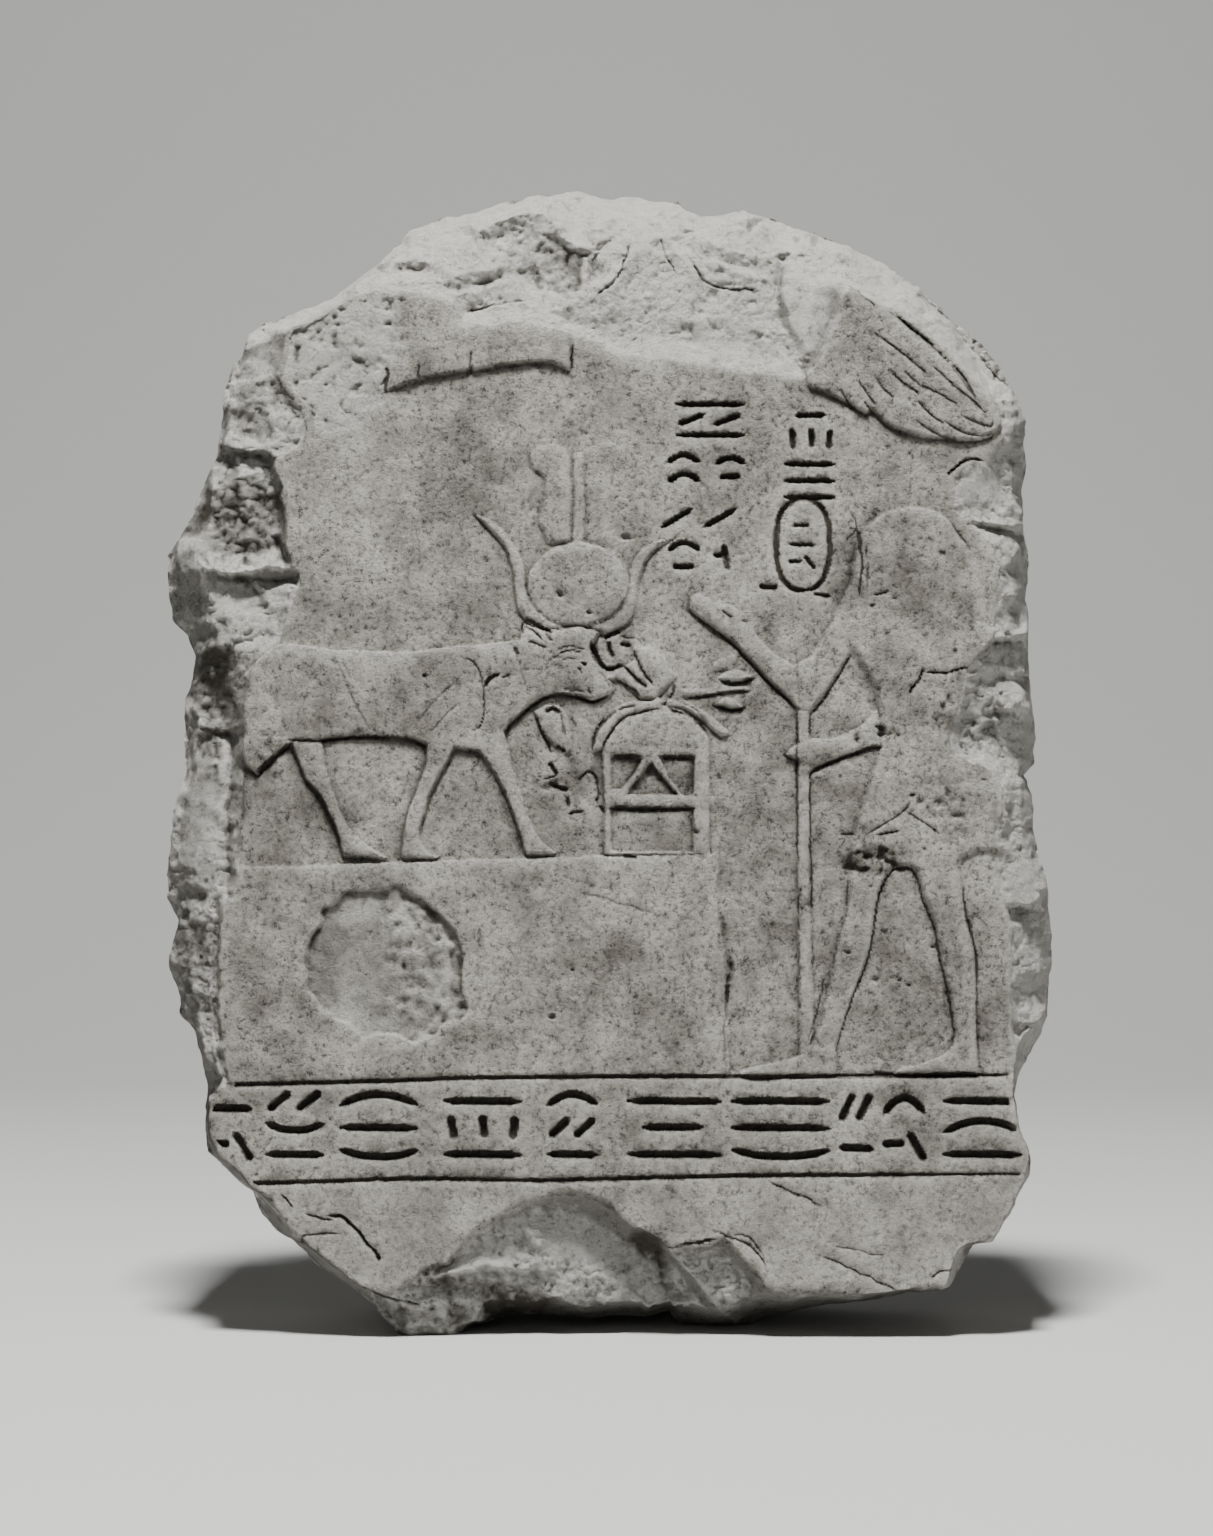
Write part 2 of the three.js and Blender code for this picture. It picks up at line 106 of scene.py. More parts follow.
# Where the flat carved face ends, anticlockwise from the right shoulder.
FACE_EDGE = [
    (97.5, 224, 0.3), (97.3, 230, 0.3), (96, 234.5, 0.3), (92.5, 237.5, 0.3), (85, 246, 0.3),
    (76, 253.5, 0.3), (70, 257.8, 0.4), (68, 257.2, 0.3), (64, 259.6, 0.3), (60.3, 261.6, 0.4),
    (59.5, 257, 0.3), (57.8, 251.5, 0.2), (55, 245.5, 0.2), (52, 241, 0.2), (48, 239.3, 0.2),
    (40, 240.4, 0.2), (30, 241.5, 0.2), (20, 242.7, 0.2), (10, 244, 0.2), (0.5, 244.9, 0.2),
    (-1, 246.5, 0.3), (-3, 248.3, 0.4), (-8, 249.3, 0.4), (-13, 250.6, 0.4), (-18, 252.3, 0.4),
    (-23, 253.3, 0.3), (-29, 251.7, 0.2), (-36.5, 252.3, 0.3), (-38.3, 255, 0.6),
    (-40, 259, 0.8), (-50, 260.4, 1.2), (-58, 261, 1.3), (-66, 259, 1.3), (-74, 254.5, 1.3),
    (-80.5, 252, 2.2), (-81.5, 246, 2.2), (-82, 240, 1.8), (-79, 234, 1.2), (-75, 231.5, 0.5),
    (-74.5, 227, 0.3), (-76, 222, 0.3), (-80, 220, 0.4), (-83.2, 219.5, 0.4), (-83, 217, 0.3),
    (-81.5, 212.5, 0.2), (-80.7, 205, 0.2), (-80.5, 197, 0.2), (-79, 193.2, 0.1),
    (-76.2, 190.7, 0.1), (-76.3, 187, 0.2), (-79, 182, 0.3), (-80.2, 178, 0.3),
    (-80.5, 174.5, 0.3), (-83, 172.3, 0.2), (-87, 170, 0.3), (-89.3, 164, 0.3),
    (-90.2, 157, 0.3), (-90.4, 152, 0.3), (-91, 147, 0.4), (-90.3, 141, 0.4),
    (-90.6, 130, 0.3), (-91.4, 118, 0.2), (-92, 110, 0.2), (-96.6, 107.5, 0.2),
    (-96.8, 100, 0.2), (-97, 90, 0.2), (-96.6, 78, 0.2), (-96, 72, 0.2), (-93.6, 62.5, 0.1),
    (-96, 60.5, 0.1), (-99.6, 60, 0.2), (-100, 55, 0.2), (-99.6, 49, 0.2), (-97, 45, 0.2),
    (-93, 41.7, 0.2), (-89, 37.2, 0.2), (-84.3, 34, 0.2), (-81, 29.5, 0.2), (-77.3, 24.6, 0.2),
    (-70, 18.6, 0.2), (-64.5, 14.2, 0.2), (-59, 11.6, 0.2), (-55, 10.8, 0.2), (-51.8, 12.6, 0.2),
    (-47.5, 15.9, 0.2), (-44, 17.4, 0.2), (-41, 18.2, 0.2), (-39.8, 19.9, 0.2), (-37.8, 20.9, 0.2),
    (-36.6, 24, 0.2), (-33.5, 27, 0.2), (-30, 28.8, 0.2), (-25, 31, 0.2), (-22, 34.3, 0.2),
    (-16, 35.4, 0.2), (-10, 36, 0.2), (-5, 35.2, 0.2), (-1, 33.8, 0.2), (2, 31.6, 0.2),
    (6, 27.9, 0.2), (10, 26.6, 0.2), (13, 24.8, 0.2), (15, 22.2, 0.2), (20, 22.9, 0.2),
    (25, 23.5, 0.2), (28, 24.6, 0.2), (30, 24, 0.2), (32, 20.5, 0.2), (35, 18.4, 0.2),
    (37.8, 16.3, 0.2), (39.8, 12.5, 0.2), (41.5, 11.2, 0.3), (50, 11.6, 0.3), (56, 11.6, 0.3),
    (63, 10.6, 0.3), (72, 11.2, 0.3), (80, 12.6, 0.3), (84.5, 13.4, 0.3), (85.6, 16.2, 0.3),
    (86.8, 20, 0.3), (88.3, 23.2, 0.3), (95.3, 24.2, 0.3), (97, 26.2, 0.3), (99.6, 30, 0.3),
    (101.6, 33.5, 0.3), (103.4, 38, 0.3), (104.4, 41, 0.2), (104.9, 45, 0.2), (103.5, 50, 0.2),
    (101.6, 55, 0.2), (100.8, 62, 0.2), (101.6, 67, 0.3), (100.8, 75, 0.2), (100.4, 85, 0.2),
    (100.3, 96, 0.2), (100, 105.5, 0.2), (98, 110, 0.2), (95.6, 115, 0.2), (96.5, 121, 0.3),
    (95.6, 126, 0.4), (97.6, 131, 0.6), (97.4, 138, 1.2), (94, 142, 1.6), (88, 143.2, 1.5),
    (84.6, 146, 0.8), (84, 152, 0.3), (87, 158, 0.3), (88, 162, 0.4), (87.6, 166, 0.4),
    (90, 169.4, 0.3), (94, 172, 0.4), (95.5, 176.5, 0.3), (96, 181, 0.3), (97.5, 185.5, 0.3),
    (97, 191, 0.2), (96.6, 196, 0.3), (92, 200.4, 0.3), (88.5, 203.6, 0.2), (86, 205, 0.2),
    (85.2, 210, 0.3), (86.5, 216, 0.3), (91, 219.3, 0.5), (96, 220, 0.8),
]
# Ridges, hollows and ledges of the broken stone outside it.
BREAK_LINES = [
    # crown, left: a lens-shaped flake bed, then the dark undercut band with its lip
    [(-63, 263, 4), (-55, 263.6, 3.8), (-48, 263.4, 3.6), (-41, 263.6, 3.6)],
    [(-60, 265, 6.3), (-56, 266.6, 6.6), (-50, 266.7, 6.6), (-45, 266.6, 6.6), (-42, 264.8, 5.2)],
    [(-57, 267.8, 6.6), (-50, 268.9, 6.2), (-46, 269, 6.2), (-43, 267.8, 6.4)],
    [(-54, 271, 10), (-46, 272, 10.5), (-41, 270, 8.6)],
    [(-48, 276, 17), (-40, 277, 16), (-33, 279, 15)],
    [(-40, 260.5, 2.6), (-33, 261.8, 3.4), (-25.5, 263.6, 4.2)],
    [(-40, 262, 4.5), (-33, 263, 5.2), (-27, 264.8, 5.7)],
    [(-41, 264.6, 4.2), (-33, 266.4, 4.6), (-27, 267.9, 5)],
    [(-36.5, 254.6, 2.2), (-30, 256, 2.8), (-22.5, 257.8, 3)],
    [(-36, 256.2, 3.4), (-30, 257.4, 3.8), (-23.5, 259, 4.2)],
    [(-38, 270, 8), (-30, 271, 8), (-25, 271, 8.4)],
    # the narrow bright lip that runs down to the right
    [(-26, 266, 5.4), (-23.3, 262.5, 4.2), (-20.8, 258.8, 3.2), (-17, 255.6, 2.4), (-12, 252.9, 1.7),
     (-7, 251.3, 1.6), (-3, 250.2, 1.6), (-0.5, 248.8, 2)],
    [(-24.6, 267.2, 7.4), (-21.8, 262.5, 6.6), (-19.4, 259.6, 5), (-15.5, 256.8, 4.2),
     (-10.5, 254, 3.2), (-6, 252.4, 2.6), (-1, 251.2, 2.8)],
    [(-20.6, 264, 9.4), (-15, 261.6, 9), (-10.4, 260.6, 8)],
    [(-24, 270.4, 9.4), (-15, 269.8, 10.2), (-10, 269, 9.8)],
    [(-9.2, 253.4, 2.6), (-9, 260.6, 3.4)],
    [(-0.6, 252.6, 3), (0.4, 259, 3.2)],
    [(-8.4, 261.4, 6.4), (-7.4, 266, 7.8), (-7.6, 270, 8.6)],
    [(-5.6, 262.2, 3.8), (-5.4, 266, 5.2), (-5.6, 269.6, 6.8)],
    [(-4.3, 263.9, 7.6), (-4.2, 267, 8.4), (-4, 271.4, 9.2)],
    # the hollow at the top, under an overhanging edge, with a small bright step in it
    [(-32, 276.8, 8.6), (-27, 279.2, 9), (-22, 281, 9.6), (-16.5, 280.9, 10), (-14.2, 278.4, 9.4),
     (-12.4, 275.6, 8.2), (-9, 273.9, 7.4), (-6, 272.6, 7), (-3.4, 271.2, 7.4)],
    [(-33, 273.6, 9), (-28, 275, 9.9), (-23.5, 276.4, 10.6), (-21, 276, 10.4), (-18, 274, 10),
     (-13.5, 274.6, 9.5), (-10.5, 272.2, 9.1), (-6.6, 270.6, 8.8)],
    [(-29, 282, 20), (-20, 284, 22), (-12, 284.5, 22), (-7, 285, 24)],
    [(-12, 279, 14), (-8, 276, 12), (-5, 274.4, 10.4), (-2.6, 274, 8.6)],
    # the scoop in the middle of the crown and its bright lower lip
    [(-4, 262.9, 3.6), (-1.6, 263.6, 3.6), (0.6, 264.8, 3.8), (3.2, 267.2, 4.6), (6.2, 270.8, 6)],
    [(-3.4, 264.4, 6.6), (-0.8, 265.6, 6.6), (1.6, 268, 7), (4.4, 271.6, 8)],
    [(-2, 271.6, 9.8), (0.8, 274, 11), (3, 277.6, 13), (5.4, 281.6, 20)],
    [(-2.4, 276.4, 9.6), (0.6, 280, 14), (3.4, 283.6, 26)],
    [(8.4, 271.6, 6.8), (9.8, 276, 9.6), (10.2, 281, 19)],
    # crown, middle: the bright lip over the writing and the plain stone above it
    [(0, 249, 2.6), (5, 249.6, 3.4), (12, 249.4, 3.6), (20, 248.8, 3.6), (30, 247.6, 3.7),
     (38, 246, 3.6), (44, 244.4, 3), (49, 242.8, 1.8)],
    [(4, 256, 4), (14, 257.4, 4.4), (25, 256, 4.4), (34, 255, 4.6), (40.6, 254, 4.8)],
    [(6, 264, 5.4), (13, 263.4, 5.4), (21, 261.6, 5.4), (30, 261.6, 6), (38, 261, 6.4)],
    [(11, 273, 8.6), (13.4, 271.2, 8), (15, 268.4, 7), (17.4, 265.4, 6)],
    [(13, 274.8, 9.6), (14.8, 271.6, 9.2), (16, 268.6, 8.2), (17.8, 266.2, 6.6)],
    [(16.6, 271, 7.6), (18.6, 269, 6.8), (19.6, 266.6, 6.2)],
    [(11, 277, 13), (15, 277.6, 11.6), (17, 275.4, 10.4)],
    [(18, 274, 10.6), (22, 276.6, 12.4), (27, 277.6, 13)],
    [(21.5, 271, 8.2), (24.4, 274.8, 8.6), (26.4, 273, 8)],
    [(25.6, 269.4, 6.4), (28, 267.8, 6), (30.6, 266.7, 6), (36, 265.7, 6.4)],
    [(26, 270.6, 7.6), (28.6, 269, 7.6), (31, 268, 7.6), (36.8, 267, 8)],
    [(27.4, 272.4, 7.5), (32, 271.4, 7.4), (37, 270.4, 8), (40.4, 270.6, 9)],
    [(29.6, 279, 16), (31, 275, 11), (31.6, 272, 9)],
    [(34.6, 279.6, 14), (35.6, 275.6, 12), (36.6, 272, 10)],
    [(11, 282, 24), (18, 281.4, 20), (24, 279.6, 20)],
    # crown, right: the wide smooth facet and its dark left edge
    [(41.6, 268.6, 8.4), (41.2, 262, 7.2), (41.4, 256, 6), (43.4, 251, 4.8), (46, 247, 3.6)],
    [(43.2, 267.4, 10.4), (42.8, 262, 8.6), (43, 256, 7), (44.8, 251, 5.2), (47.4, 247.2, 3.4)],
    [(44.6, 266, 8), (44.4, 262, 6.6), (44.8, 256, 5), (47, 250.6, 3.4), (50, 246, 2)],
    [(52, 262, 5.6), (52.4, 256, 3.8), (53.4, 250, 2), (54, 246, 0.8)],
    [(58.4, 262.6, 2.4), (57.6, 257, 1.5), (56.6, 251, 0.7)],
    [(43.8, 267.6, 9.6), (48.4, 271.4, 11.6), (51, 272, 12.4)],
    [(43.4, 268.8, 12), (47.8, 272.6, 14), (50, 276, 20)],
    [(53, 267, 8.4), (58.6, 266, 6), (58.8, 270.6, 11)],
    [(60.2, 270.4, 13), (60.4, 266, 7.6), (60.8, 262.9, 3.6)],
    [(62, 268.6, 12), (62.4, 263.6, 6.4), (66, 261, 4.6), (67.6, 259.2, 2.6)],
    [(66, 266.6, 15), (68, 263, 10), (69.4, 260, 5)],
    [(71.6, 263.6, 14), (73.6, 260.8, 9.4), (72, 258.6, 3)],
    [(73, 257.6, 3), (79, 253.4, 3.2), (86, 247, 3), (91.6, 240.4, 2.4), (95, 236.6, 1.6)],
    [(77, 259.8, 10), (82, 256, 10), (87, 250.6, 9)],
    # left shoulder: a smooth slope, a bright crest, and the lip over the deep flake scar
    [(-83.6, 252, 7), (-84, 246, 5.4), (-84.6, 240.4, 4)],
    [(-90, 249, 13), (-90, 243, 10), (-91, 239.6, 9)],
    [(-95.6, 238.6, 12), (-90.6, 238.4, 8), (-86.6, 237.6, 5), (-81.6, 235.6, 2.8), (-77, 232.6, 1)],
    [(-90.6, 233.4, 6.2), (-85, 233.6, 3.4), (-83.4, 230.6, 2.6), (-80, 228, 1.2)],
    [(-90.4, 226, 6), (-86, 225, 3.6), (-83.4, 224, 2), (-79.6, 223, 0.9)],
    [(-92.6, 234, 8.6), (-92.6, 228, 8), (-92.6, 224, 7)],
    [(-94.6, 233, 9.6), (-94.8, 226, 8.8), (-94.4, 223.6, 7)],
    [(-96.2, 222.6, 8), (-92.8, 222.2, 4.6), (-90, 221.7, 3.6), (-87, 222, 2.6), (-84.2, 220.9, 1.2)],
    [(-96.6, 221.4, 11), (-92.6, 221, 8.4), (-88.6, 221, 7), (-84.8, 219.6, 5)],
    [(-84.3, 216, 3.6), (-82.8, 208, 3.6), (-82.2, 200, 3.8), (-81.6, 194, 3.8)],
    [(-91, 216, 4.2), (-91, 208, 4.8), (-91, 200, 5.6), (-91, 193.6, 6)],
    [(-98.6, 212, 7), (-99.6, 205, 6.6), (-100.4, 199, 6.8), (-100.8, 194.4, 6.6)],
    [(-101.6, 207, 10), (-102, 200, 7.4), (-102.6, 194.4, 5.4), (-101.6, 191.4, 4.8)],
    [(-107.4, 197, 12), (-108.4, 194, 12.6), (-105.4, 190.6, 8), (-102, 188, 6.4)],
    [(-101.2, 192.3, 3.6), (-96, 191.5, 2.6), (-90, 191.7, 1.8), (-84, 192, 1), (-79.6, 191.7, 0.6)],
    [(-100.6, 190.6, 5.2), (-96, 190, 6.6), (-90, 189.7, 6.6), (-84, 189.4, 6), (-79, 189.6, 4),
     (-76.7, 189.7, 1)],
    # below the ledge: a bright slope, a slanting groove and the hollow behind the cow's rump
    [(-98, 184, 5.8), (-95, 180, 4), (-92, 177.6, 2.8)],
    [(-90.2, 188.6, 6.8), (-87.4, 185.6, 5.4), (-85.7, 181, 4), (-85.4, 176, 2.6)],
    [(-88.6, 189, 5), (-85.2, 185.6, 3.2), (-83.4, 181, 2), (-83.4, 176, 1.2)],
    [(-80.4, 188, 1.8), (-79.8, 184.4, 1)],
    [(-107, 188, 12), (-105, 181, 13.6), (-104.4, 177, 15)],
    [(-102.6, 185.6, 8), (-101.6, 180, 9), (-100.6, 175.6, 9)],
    [(-99, 178, 5), (-97.4, 174.4, 4.8), (-94, 172.6, 3.6)],
    [(-102, 170, 12), (-99.4, 167, 9), (-97, 160, 8.4), (-96.6, 155, 8)],
    [(-96, 167, 6.4), (-94, 160, 6), (-93.4, 154.6, 4.4)],
    [(-91, 165, 2), (-91.4, 158, 2)],
    [(-103, 163, 14), (-103.4, 157, 13), (-102, 152.6, 10)],
    [(-98.6, 152, 7.6), (-95, 151, 5.6), (-92.6, 152.6, 2.2)],
    [(-98.6, 150.8, 9), (-94.4, 149.8, 8.2), (-92.4, 150, 4)],
    # left side: the tall crack, the smooth chip outside it and the second, shallower crack
    [(-96.6, 148, 7), (-95.4, 143, 4.6), (-96.2, 130, 3), (-96.6, 119, 2.2), (-96, 110, 1.8)],
    [(-94, 148, 7.6), (-93.9, 142, 6), (-94.9, 130, 4.6), (-95.3, 118, 3.8), (-94.8, 109.6, 2.4)],
    [(-92.6, 147, 3.6), (-92.2, 141, 2.6), (-93.4, 130, 2), (-93.8, 118, 1.4), (-93.4, 109.6, 0.7)],
    [(-99.6, 146, 8.4), (-99.4, 138, 5.8), (-101, 128, 4.6), (-103, 120, 4), (-103, 114.6, 4)],
    [(-104, 147, 13), (-102.6, 141, 9), (-105, 135, 9.6), (-106, 128, 8.6)],
    [(-107.6, 122, 8.4), (-107, 116.6, 7), (-106.6, 111, 9)],
    [(-99.6, 109.4, 2.4), (-99.6, 100, 2.2), (-99.8, 90, 2), (-99.5, 80, 1.9), (-98.6, 72, 1.6),
     (-96.8, 64.4, 1)],
    [(-98.1, 108.6, 2.6), (-97.9, 100, 2.5), (-98.1, 90, 2.4), (-97.9, 80, 2.2), (-97.3, 72, 1.8),
     (-95, 64, 1)],
    [(-104, 106, 5), (-105.6, 99, 7), (-104, 92, 4.4), (-102.6, 84, 3.4), (-101.6, 76, 3),
     (-100.4, 69, 2.4)],
    [(-107, 93, 8.4), (-105.4, 87, 8), (-105, 81, 7.6), (-103, 77, 6)],
    # foot, left: the flaked edge and the lump it stands on
    [(-86.6, 34, 4), (-83, 29, 4), (-79.4, 24.6, 3)],
    [(-51.4, 11.8, 2), (-46.6, 14.9, 2.4), (-43, 16.6, 2.8), (-39.6, 18.6, 3.4), (-36.6, 20.2, 2.6),
     (-30, 21, 2.4), (-20, 20.6, 3.4)],
    [(-49, 14, 0.8), (-43, 15.4, 0.9), (-35, 16.3, 1.2), (-30, 17.4, 1.6), (-22, 16.8, 2.4),
     (-17.4, 16.2, 3.2)],
    [(-47.6, 12, 2.8), (-42, 11, 4), (-35, 11.4, 4.8), (-28, 12.4, 5), (-20, 13, 5),
     (-15.6, 14, 4.8)],
    [(-50, 7.4, 1.8), (-44, 8, 2.4), (-36, 8.6, 4.4), (-30, 8.6, 6.4), (-22, 8.4, 9)],
    [(-50, 3.6, 4), (-42, 2.2, 4.6), (-34, 3.4, 8)],
    # foot, middle: the great scoop, steep at its upper right, with a crease at its left
    [(-35.6, 21.8, 1.2), (-32, 25.6, 1.2), (-27, 28.6, 1.3), (-21, 32.2, 1.5), (-15, 33.8, 2),
     (-9, 34.4, 2.8), (-4, 33.2, 3.8), (0, 31, 4.8), (4, 28, 5.4), (10, 24.4, 6), (14.2, 20.4, 6.6),
     (19.3, 14.9, 7.2), (25, 8.6, 8)],
    [(-30, 24.4, 1.6), (-22, 27.6, 2), (-17.4, 28.6, 2.4), (-16.7, 19.4, 3)],
    [(-15.9, 29, 3.6), (-16, 20, 3.9), (-13.6, 17.6, 3.6)],
    [(-14, 31, 3.8), (-8, 31, 5), (-2, 28.6, 6.8), (3, 24.8, 8.2), (8, 20.6, 9.4), (12, 16, 10),
     (15.6, 11.4, 10.6)],
    [(-12, 24, 4.2), (-6, 23, 5.2), (0, 19.6, 6.6), (5, 15, 7.8), (9.6, 10.4, 8.8)],
    [(-15, 15.6, 3.8), (-8, 16, 4.6), (-3.2, 15.6, 5.2), (2, 12, 6.4), (6.4, 10, 7.4),
     (10, 7, 9)],
    [(-14.6, 10, 5), (-9, 9.6, 5.2), (-3.6, 9.4, 5.8)],
    [(-9.6, 7.8, 7), (-5, 7.2, 8), (-2.6, 8.8, 6.4), (2, 8.6, 7), (5.6, 8.4, 8)],
    [(12.4, 19, 10.4), (14, 13, 10.8), (15.4, 8.6, 11)],
    [(15.6, 18, 7.8), (17, 13.6, 8.2), (19, 9.6, 8.6)],
    [(17, 7.6, 9), (20.4, 8.6, 8), (24.6, 7.8, 7.6), (27.6, 5.6, 9)],
    # foot, right: the second, shallower chip with its hard upper edge
    [(15.6, 21, 3), (20.6, 15.8, 3.2), (26.4, 9.4, 4), (28.4, 6.6, 6)],
    [(16.6, 21.2, 2.6), (21, 21.9, 2.6), (25, 22.4, 2.6), (28.4, 23.2, 2.4), (29.8, 22.6, 2.2),
     (31.4, 19.8, 1.8), (34.6, 17.4, 1.5), (37, 15.4, 1.4), (39, 11.6, 1.6)],
    [(22, 18, 3.2), (28, 16.6, 3), (34, 13, 2.6)],
    [(29, 9.6, 3.8), (35, 9.4, 3.4), (40, 9, 3)],
    [(45, 9.4, 2), (55, 9.6, 1.8), (62, 9.4, 2.2)],
    # right side, from the shoulder down: ledges with dark undercuts between bright lumps
    [(101, 234, 4), (101.4, 228, 2.8), (101, 223.6, 2.4)],
    [(100, 219, 3.6), (101, 214, 4), (101, 209, 3.8)],
    [(90, 215, 0.9), (92, 210, 1.6), (91, 206.6, 1.4)],
    [(88, 206.4, 0.6), (94, 206.3, 2), (100, 205.8, 3.2), (103, 205.4, 5)],
    [(88.6, 204.4, 0.3), (92, 204.2, 0.6), (96, 203.6, 1.2), (101, 203, 2.4), (104, 203, 6)],
    [(90.4, 203, 1.4), (95, 202.3, 3.8), (101, 201.7, 5.8), (104, 201.6, 8.4)],
    [(93.6, 200.4, 1), (97.4, 199.4, 2), (102, 198, 4.6)],
    [(100, 193, 2), (100.4, 187.4, 1.8), (101, 184, 2.6)],
    [(98.6, 180, 2), (99.4, 176.4, 2.4), (104, 176.4, 6)],
    [(96.6, 175, 0.8), (100, 175, 1.8), (104, 175.4, 5)],
    [(96.4, 173.8, 2.4), (100, 173.6, 4.8), (104, 173.6, 9)],
    [(94, 170, 1.6), (98.6, 170.6, 3.6), (103, 170.4, 7)],
    [(92.6, 166, 1.4), (96.4, 165.6, 2.4), (101, 165.2, 4.6), (104, 166, 7)],
    [(93, 164.4, 2.6), (97, 164, 3.8), (101.4, 163.6, 6)],
    [(92, 161, 2), (97, 160.4, 2.6), (99.6, 157.4, 2.8)],
    [(99, 162.4, 4.2), (103, 161.4, 4.4), (104.4, 156.4, 6)],
    [(88.6, 156, 2.2), (93, 156.6, 3), (98, 155.6, 4.4), (103, 153.4, 7.4)],
    [(87, 151, 2.4), (92, 151, 4), (98, 150, 6), (103, 148.4, 9)],
    [(88, 146, 2.6), (94, 145.2, 4), (101, 144.6, 7.6)],
    [(98.6, 141, 4), (102, 139.6, 6), (103, 142, 8)],
    [(99.4, 138, 2), (99.8, 131, 1.4), (99.4, 127, 1.2)],
    [(100.8, 138, 4.6), (101.2, 131, 4), (101, 127.6, 3)],
    [(103, 138, 5.4), (103.4, 131, 5), (103.6, 126.4, 4.6)],
    [(99, 123, 1.4), (99.6, 117, 1), (101, 112, 1.2), (102, 108.4, 1.6)],
    [(104.4, 121, 5), (107.2, 116, 5.4), (108.2, 110.6, 5.4), (106, 107.6, 3.4)],
    [(101.4, 106, 3.4), (105, 105.6, 6), (109, 106, 10)],
    [(102.4, 101.6, 3), (105.6, 101, 5), (109.4, 101.4, 10)],
    [(103.6, 96.4, 3), (104.2, 91, 3.2), (102.4, 86.6, 2.8)],
    [(107.6, 98, 7), (107.8, 92, 7.4), (106.6, 86, 7)],
    [(102.4, 83.6, 3.6), (106, 83.4, 6), (109.4, 82.8, 9)],
    [(102, 80.6, 1.8), (105, 80.8, 3.4), (109.4, 81.6, 7)],
    [(101.6, 78.4, 1.2), (104.6, 78, 2.2), (108.4, 79.4, 5)],
    [(102.2, 75.8, 3), (104.8, 76.8, 4.6)],
    [(103, 73.6, 2.2), (106.2, 77.2, 4)],
]
# Facets that broke off cleanly and are nearly smooth: middle and half sizes.
SMOOTH_FACETS = [(51, 258, 8, 13), (-87, 246, 5, 7), (-103, 130, 6, 15), (-104, 199, 5, 7),
                 (104, 113, 5, 6), (-30, 254.5, 8, 3.4), (20, 246.5, 24, 3), (-6, 24, 9, 7),
                 (-95, 184, 5, 6), (-52, 265, 9, 2), (8, 275, 3, 6), (93, 212, 6, 5)]


def along(points, count):
    """Points spaced evenly along a line of straight stretches."""
    points = np.array(points, float)
    steps = np.hypot(*np.diff(points[:, :2], axis=0).T)
    place = np.concatenate([[0], np.cumsum(steps)])
    wanted = np.linspace(0, place[-1], count + 1)
    return np.stack([np.interp(wanted, place, column) for column in points.T], axis=1)


def chance(ix, iy, iz, seed):
    """A fixed random number from -1 to 1 for each whole-number place."""
    with np.errstate(over="ignore"):
        n = (ix.astype(np.int64).astype(np.uint32) * np.uint32(374761393)
             + iy.astype(np.int64).astype(np.uint32) * np.uint32(668265263)
             + iz.astype(np.int64).astype(np.uint32) * np.uint32(2246822519)
             + np.uint32(seed * 97531 + 7))
        n = (n ^ (n >> np.uint32(13))) * np.uint32(1274126177)
        n = (n ^ (n >> np.uint32(15))) * np.uint32(2246822519)
    return (n ^ (n >> np.uint32(16))) / 2147483647.5 - 1


def lumps(x, y, z, size, seed):
    """Smooth random lumps, size millimetres across, from -1 to 1."""
    places = [np.asarray(value, float) / size + 0.37 * seed for value in (x, y, z)]
    cells = [np.floor(value) for value in places]
    shares = [value - cell for value, cell in zip(places, cells)]
    shares = [share * share * (3 - 2 * share) for share in shares]
    total = 0
    for corner in range(8):
        bits = [corner & 1, corner >> 1 & 1, corner >> 2 & 1]
        weight = 1
        for share, bit in zip(shares, bits):
            weight = weight * (share if bit else 1 - share)
        total = total + weight * chance(*[cell + bit for cell, bit in zip(cells, bits)], seed)
    return total


def rough(x, y, z, size, seed, octaves=3):
    """Lumps with finer lumps on them."""
    return sum(lumps(x, y, z, size / 2 ** k, seed + k) / 2 ** k for k in range(octaves))


def flakes(a, b, size, seed):
    """Shell-shaped scars of struck flakes that meet in sharp ridges, deeper where larger."""
    cell_a = np.floor(a / size)
    cell_b = np.floor(b / size)
    deepest = np.full(np.shape(a), -9.0)
    zero = np.zeros_like(cell_a)
    for da in (-1, 0, 1):
        for db in (-1, 0, 1):
            ca, cb = cell_a + da, cell_b + db
            off_a = a / size - (ca + 0.5 + 0.45 * chance(ca, cb, zero, seed))
            off_b = b / size - (cb + 0.5 + 0.45 * chance(ca, cb, zero, seed + 1))
            scar = (0.45 * chance(ca, cb, zero, seed + 2)
                    + 0.7 * chance(ca, cb, zero, seed + 3) * off_a
                    + 0.7 * chance(ca, cb, zero, seed + 4) * off_b
                    - 0.8 * (off_a ** 2 + off_b ** 2))
            deepest = np.maximum(deepest, scar)
    return deepest


def ease(value):
    """From 0 to 1 with soft ends."""
    value = np.clip(value, 0, 1)
    return value * value * (3 - 2 * value)


def sighted(line):
    """Where a line marked from the front really lies: X, height and depth."""
    x, z, depth = np.array(line, float).T
    spread = 1 + depth / SIGHTING
    return np.stack([EYE_X + (x - EYE_X) * spread, EYE_Z + (z - SEEN_EYE_Z) * spread, depth], 1)


def stepped(line, step):
    """Points along a line no more than a step apart."""
    line = np.array(line, float)
    length = np.hypot(*np.diff(line[:, :2], axis=0).T).sum()
    return along(line, max(1, math.ceil(length / step)))


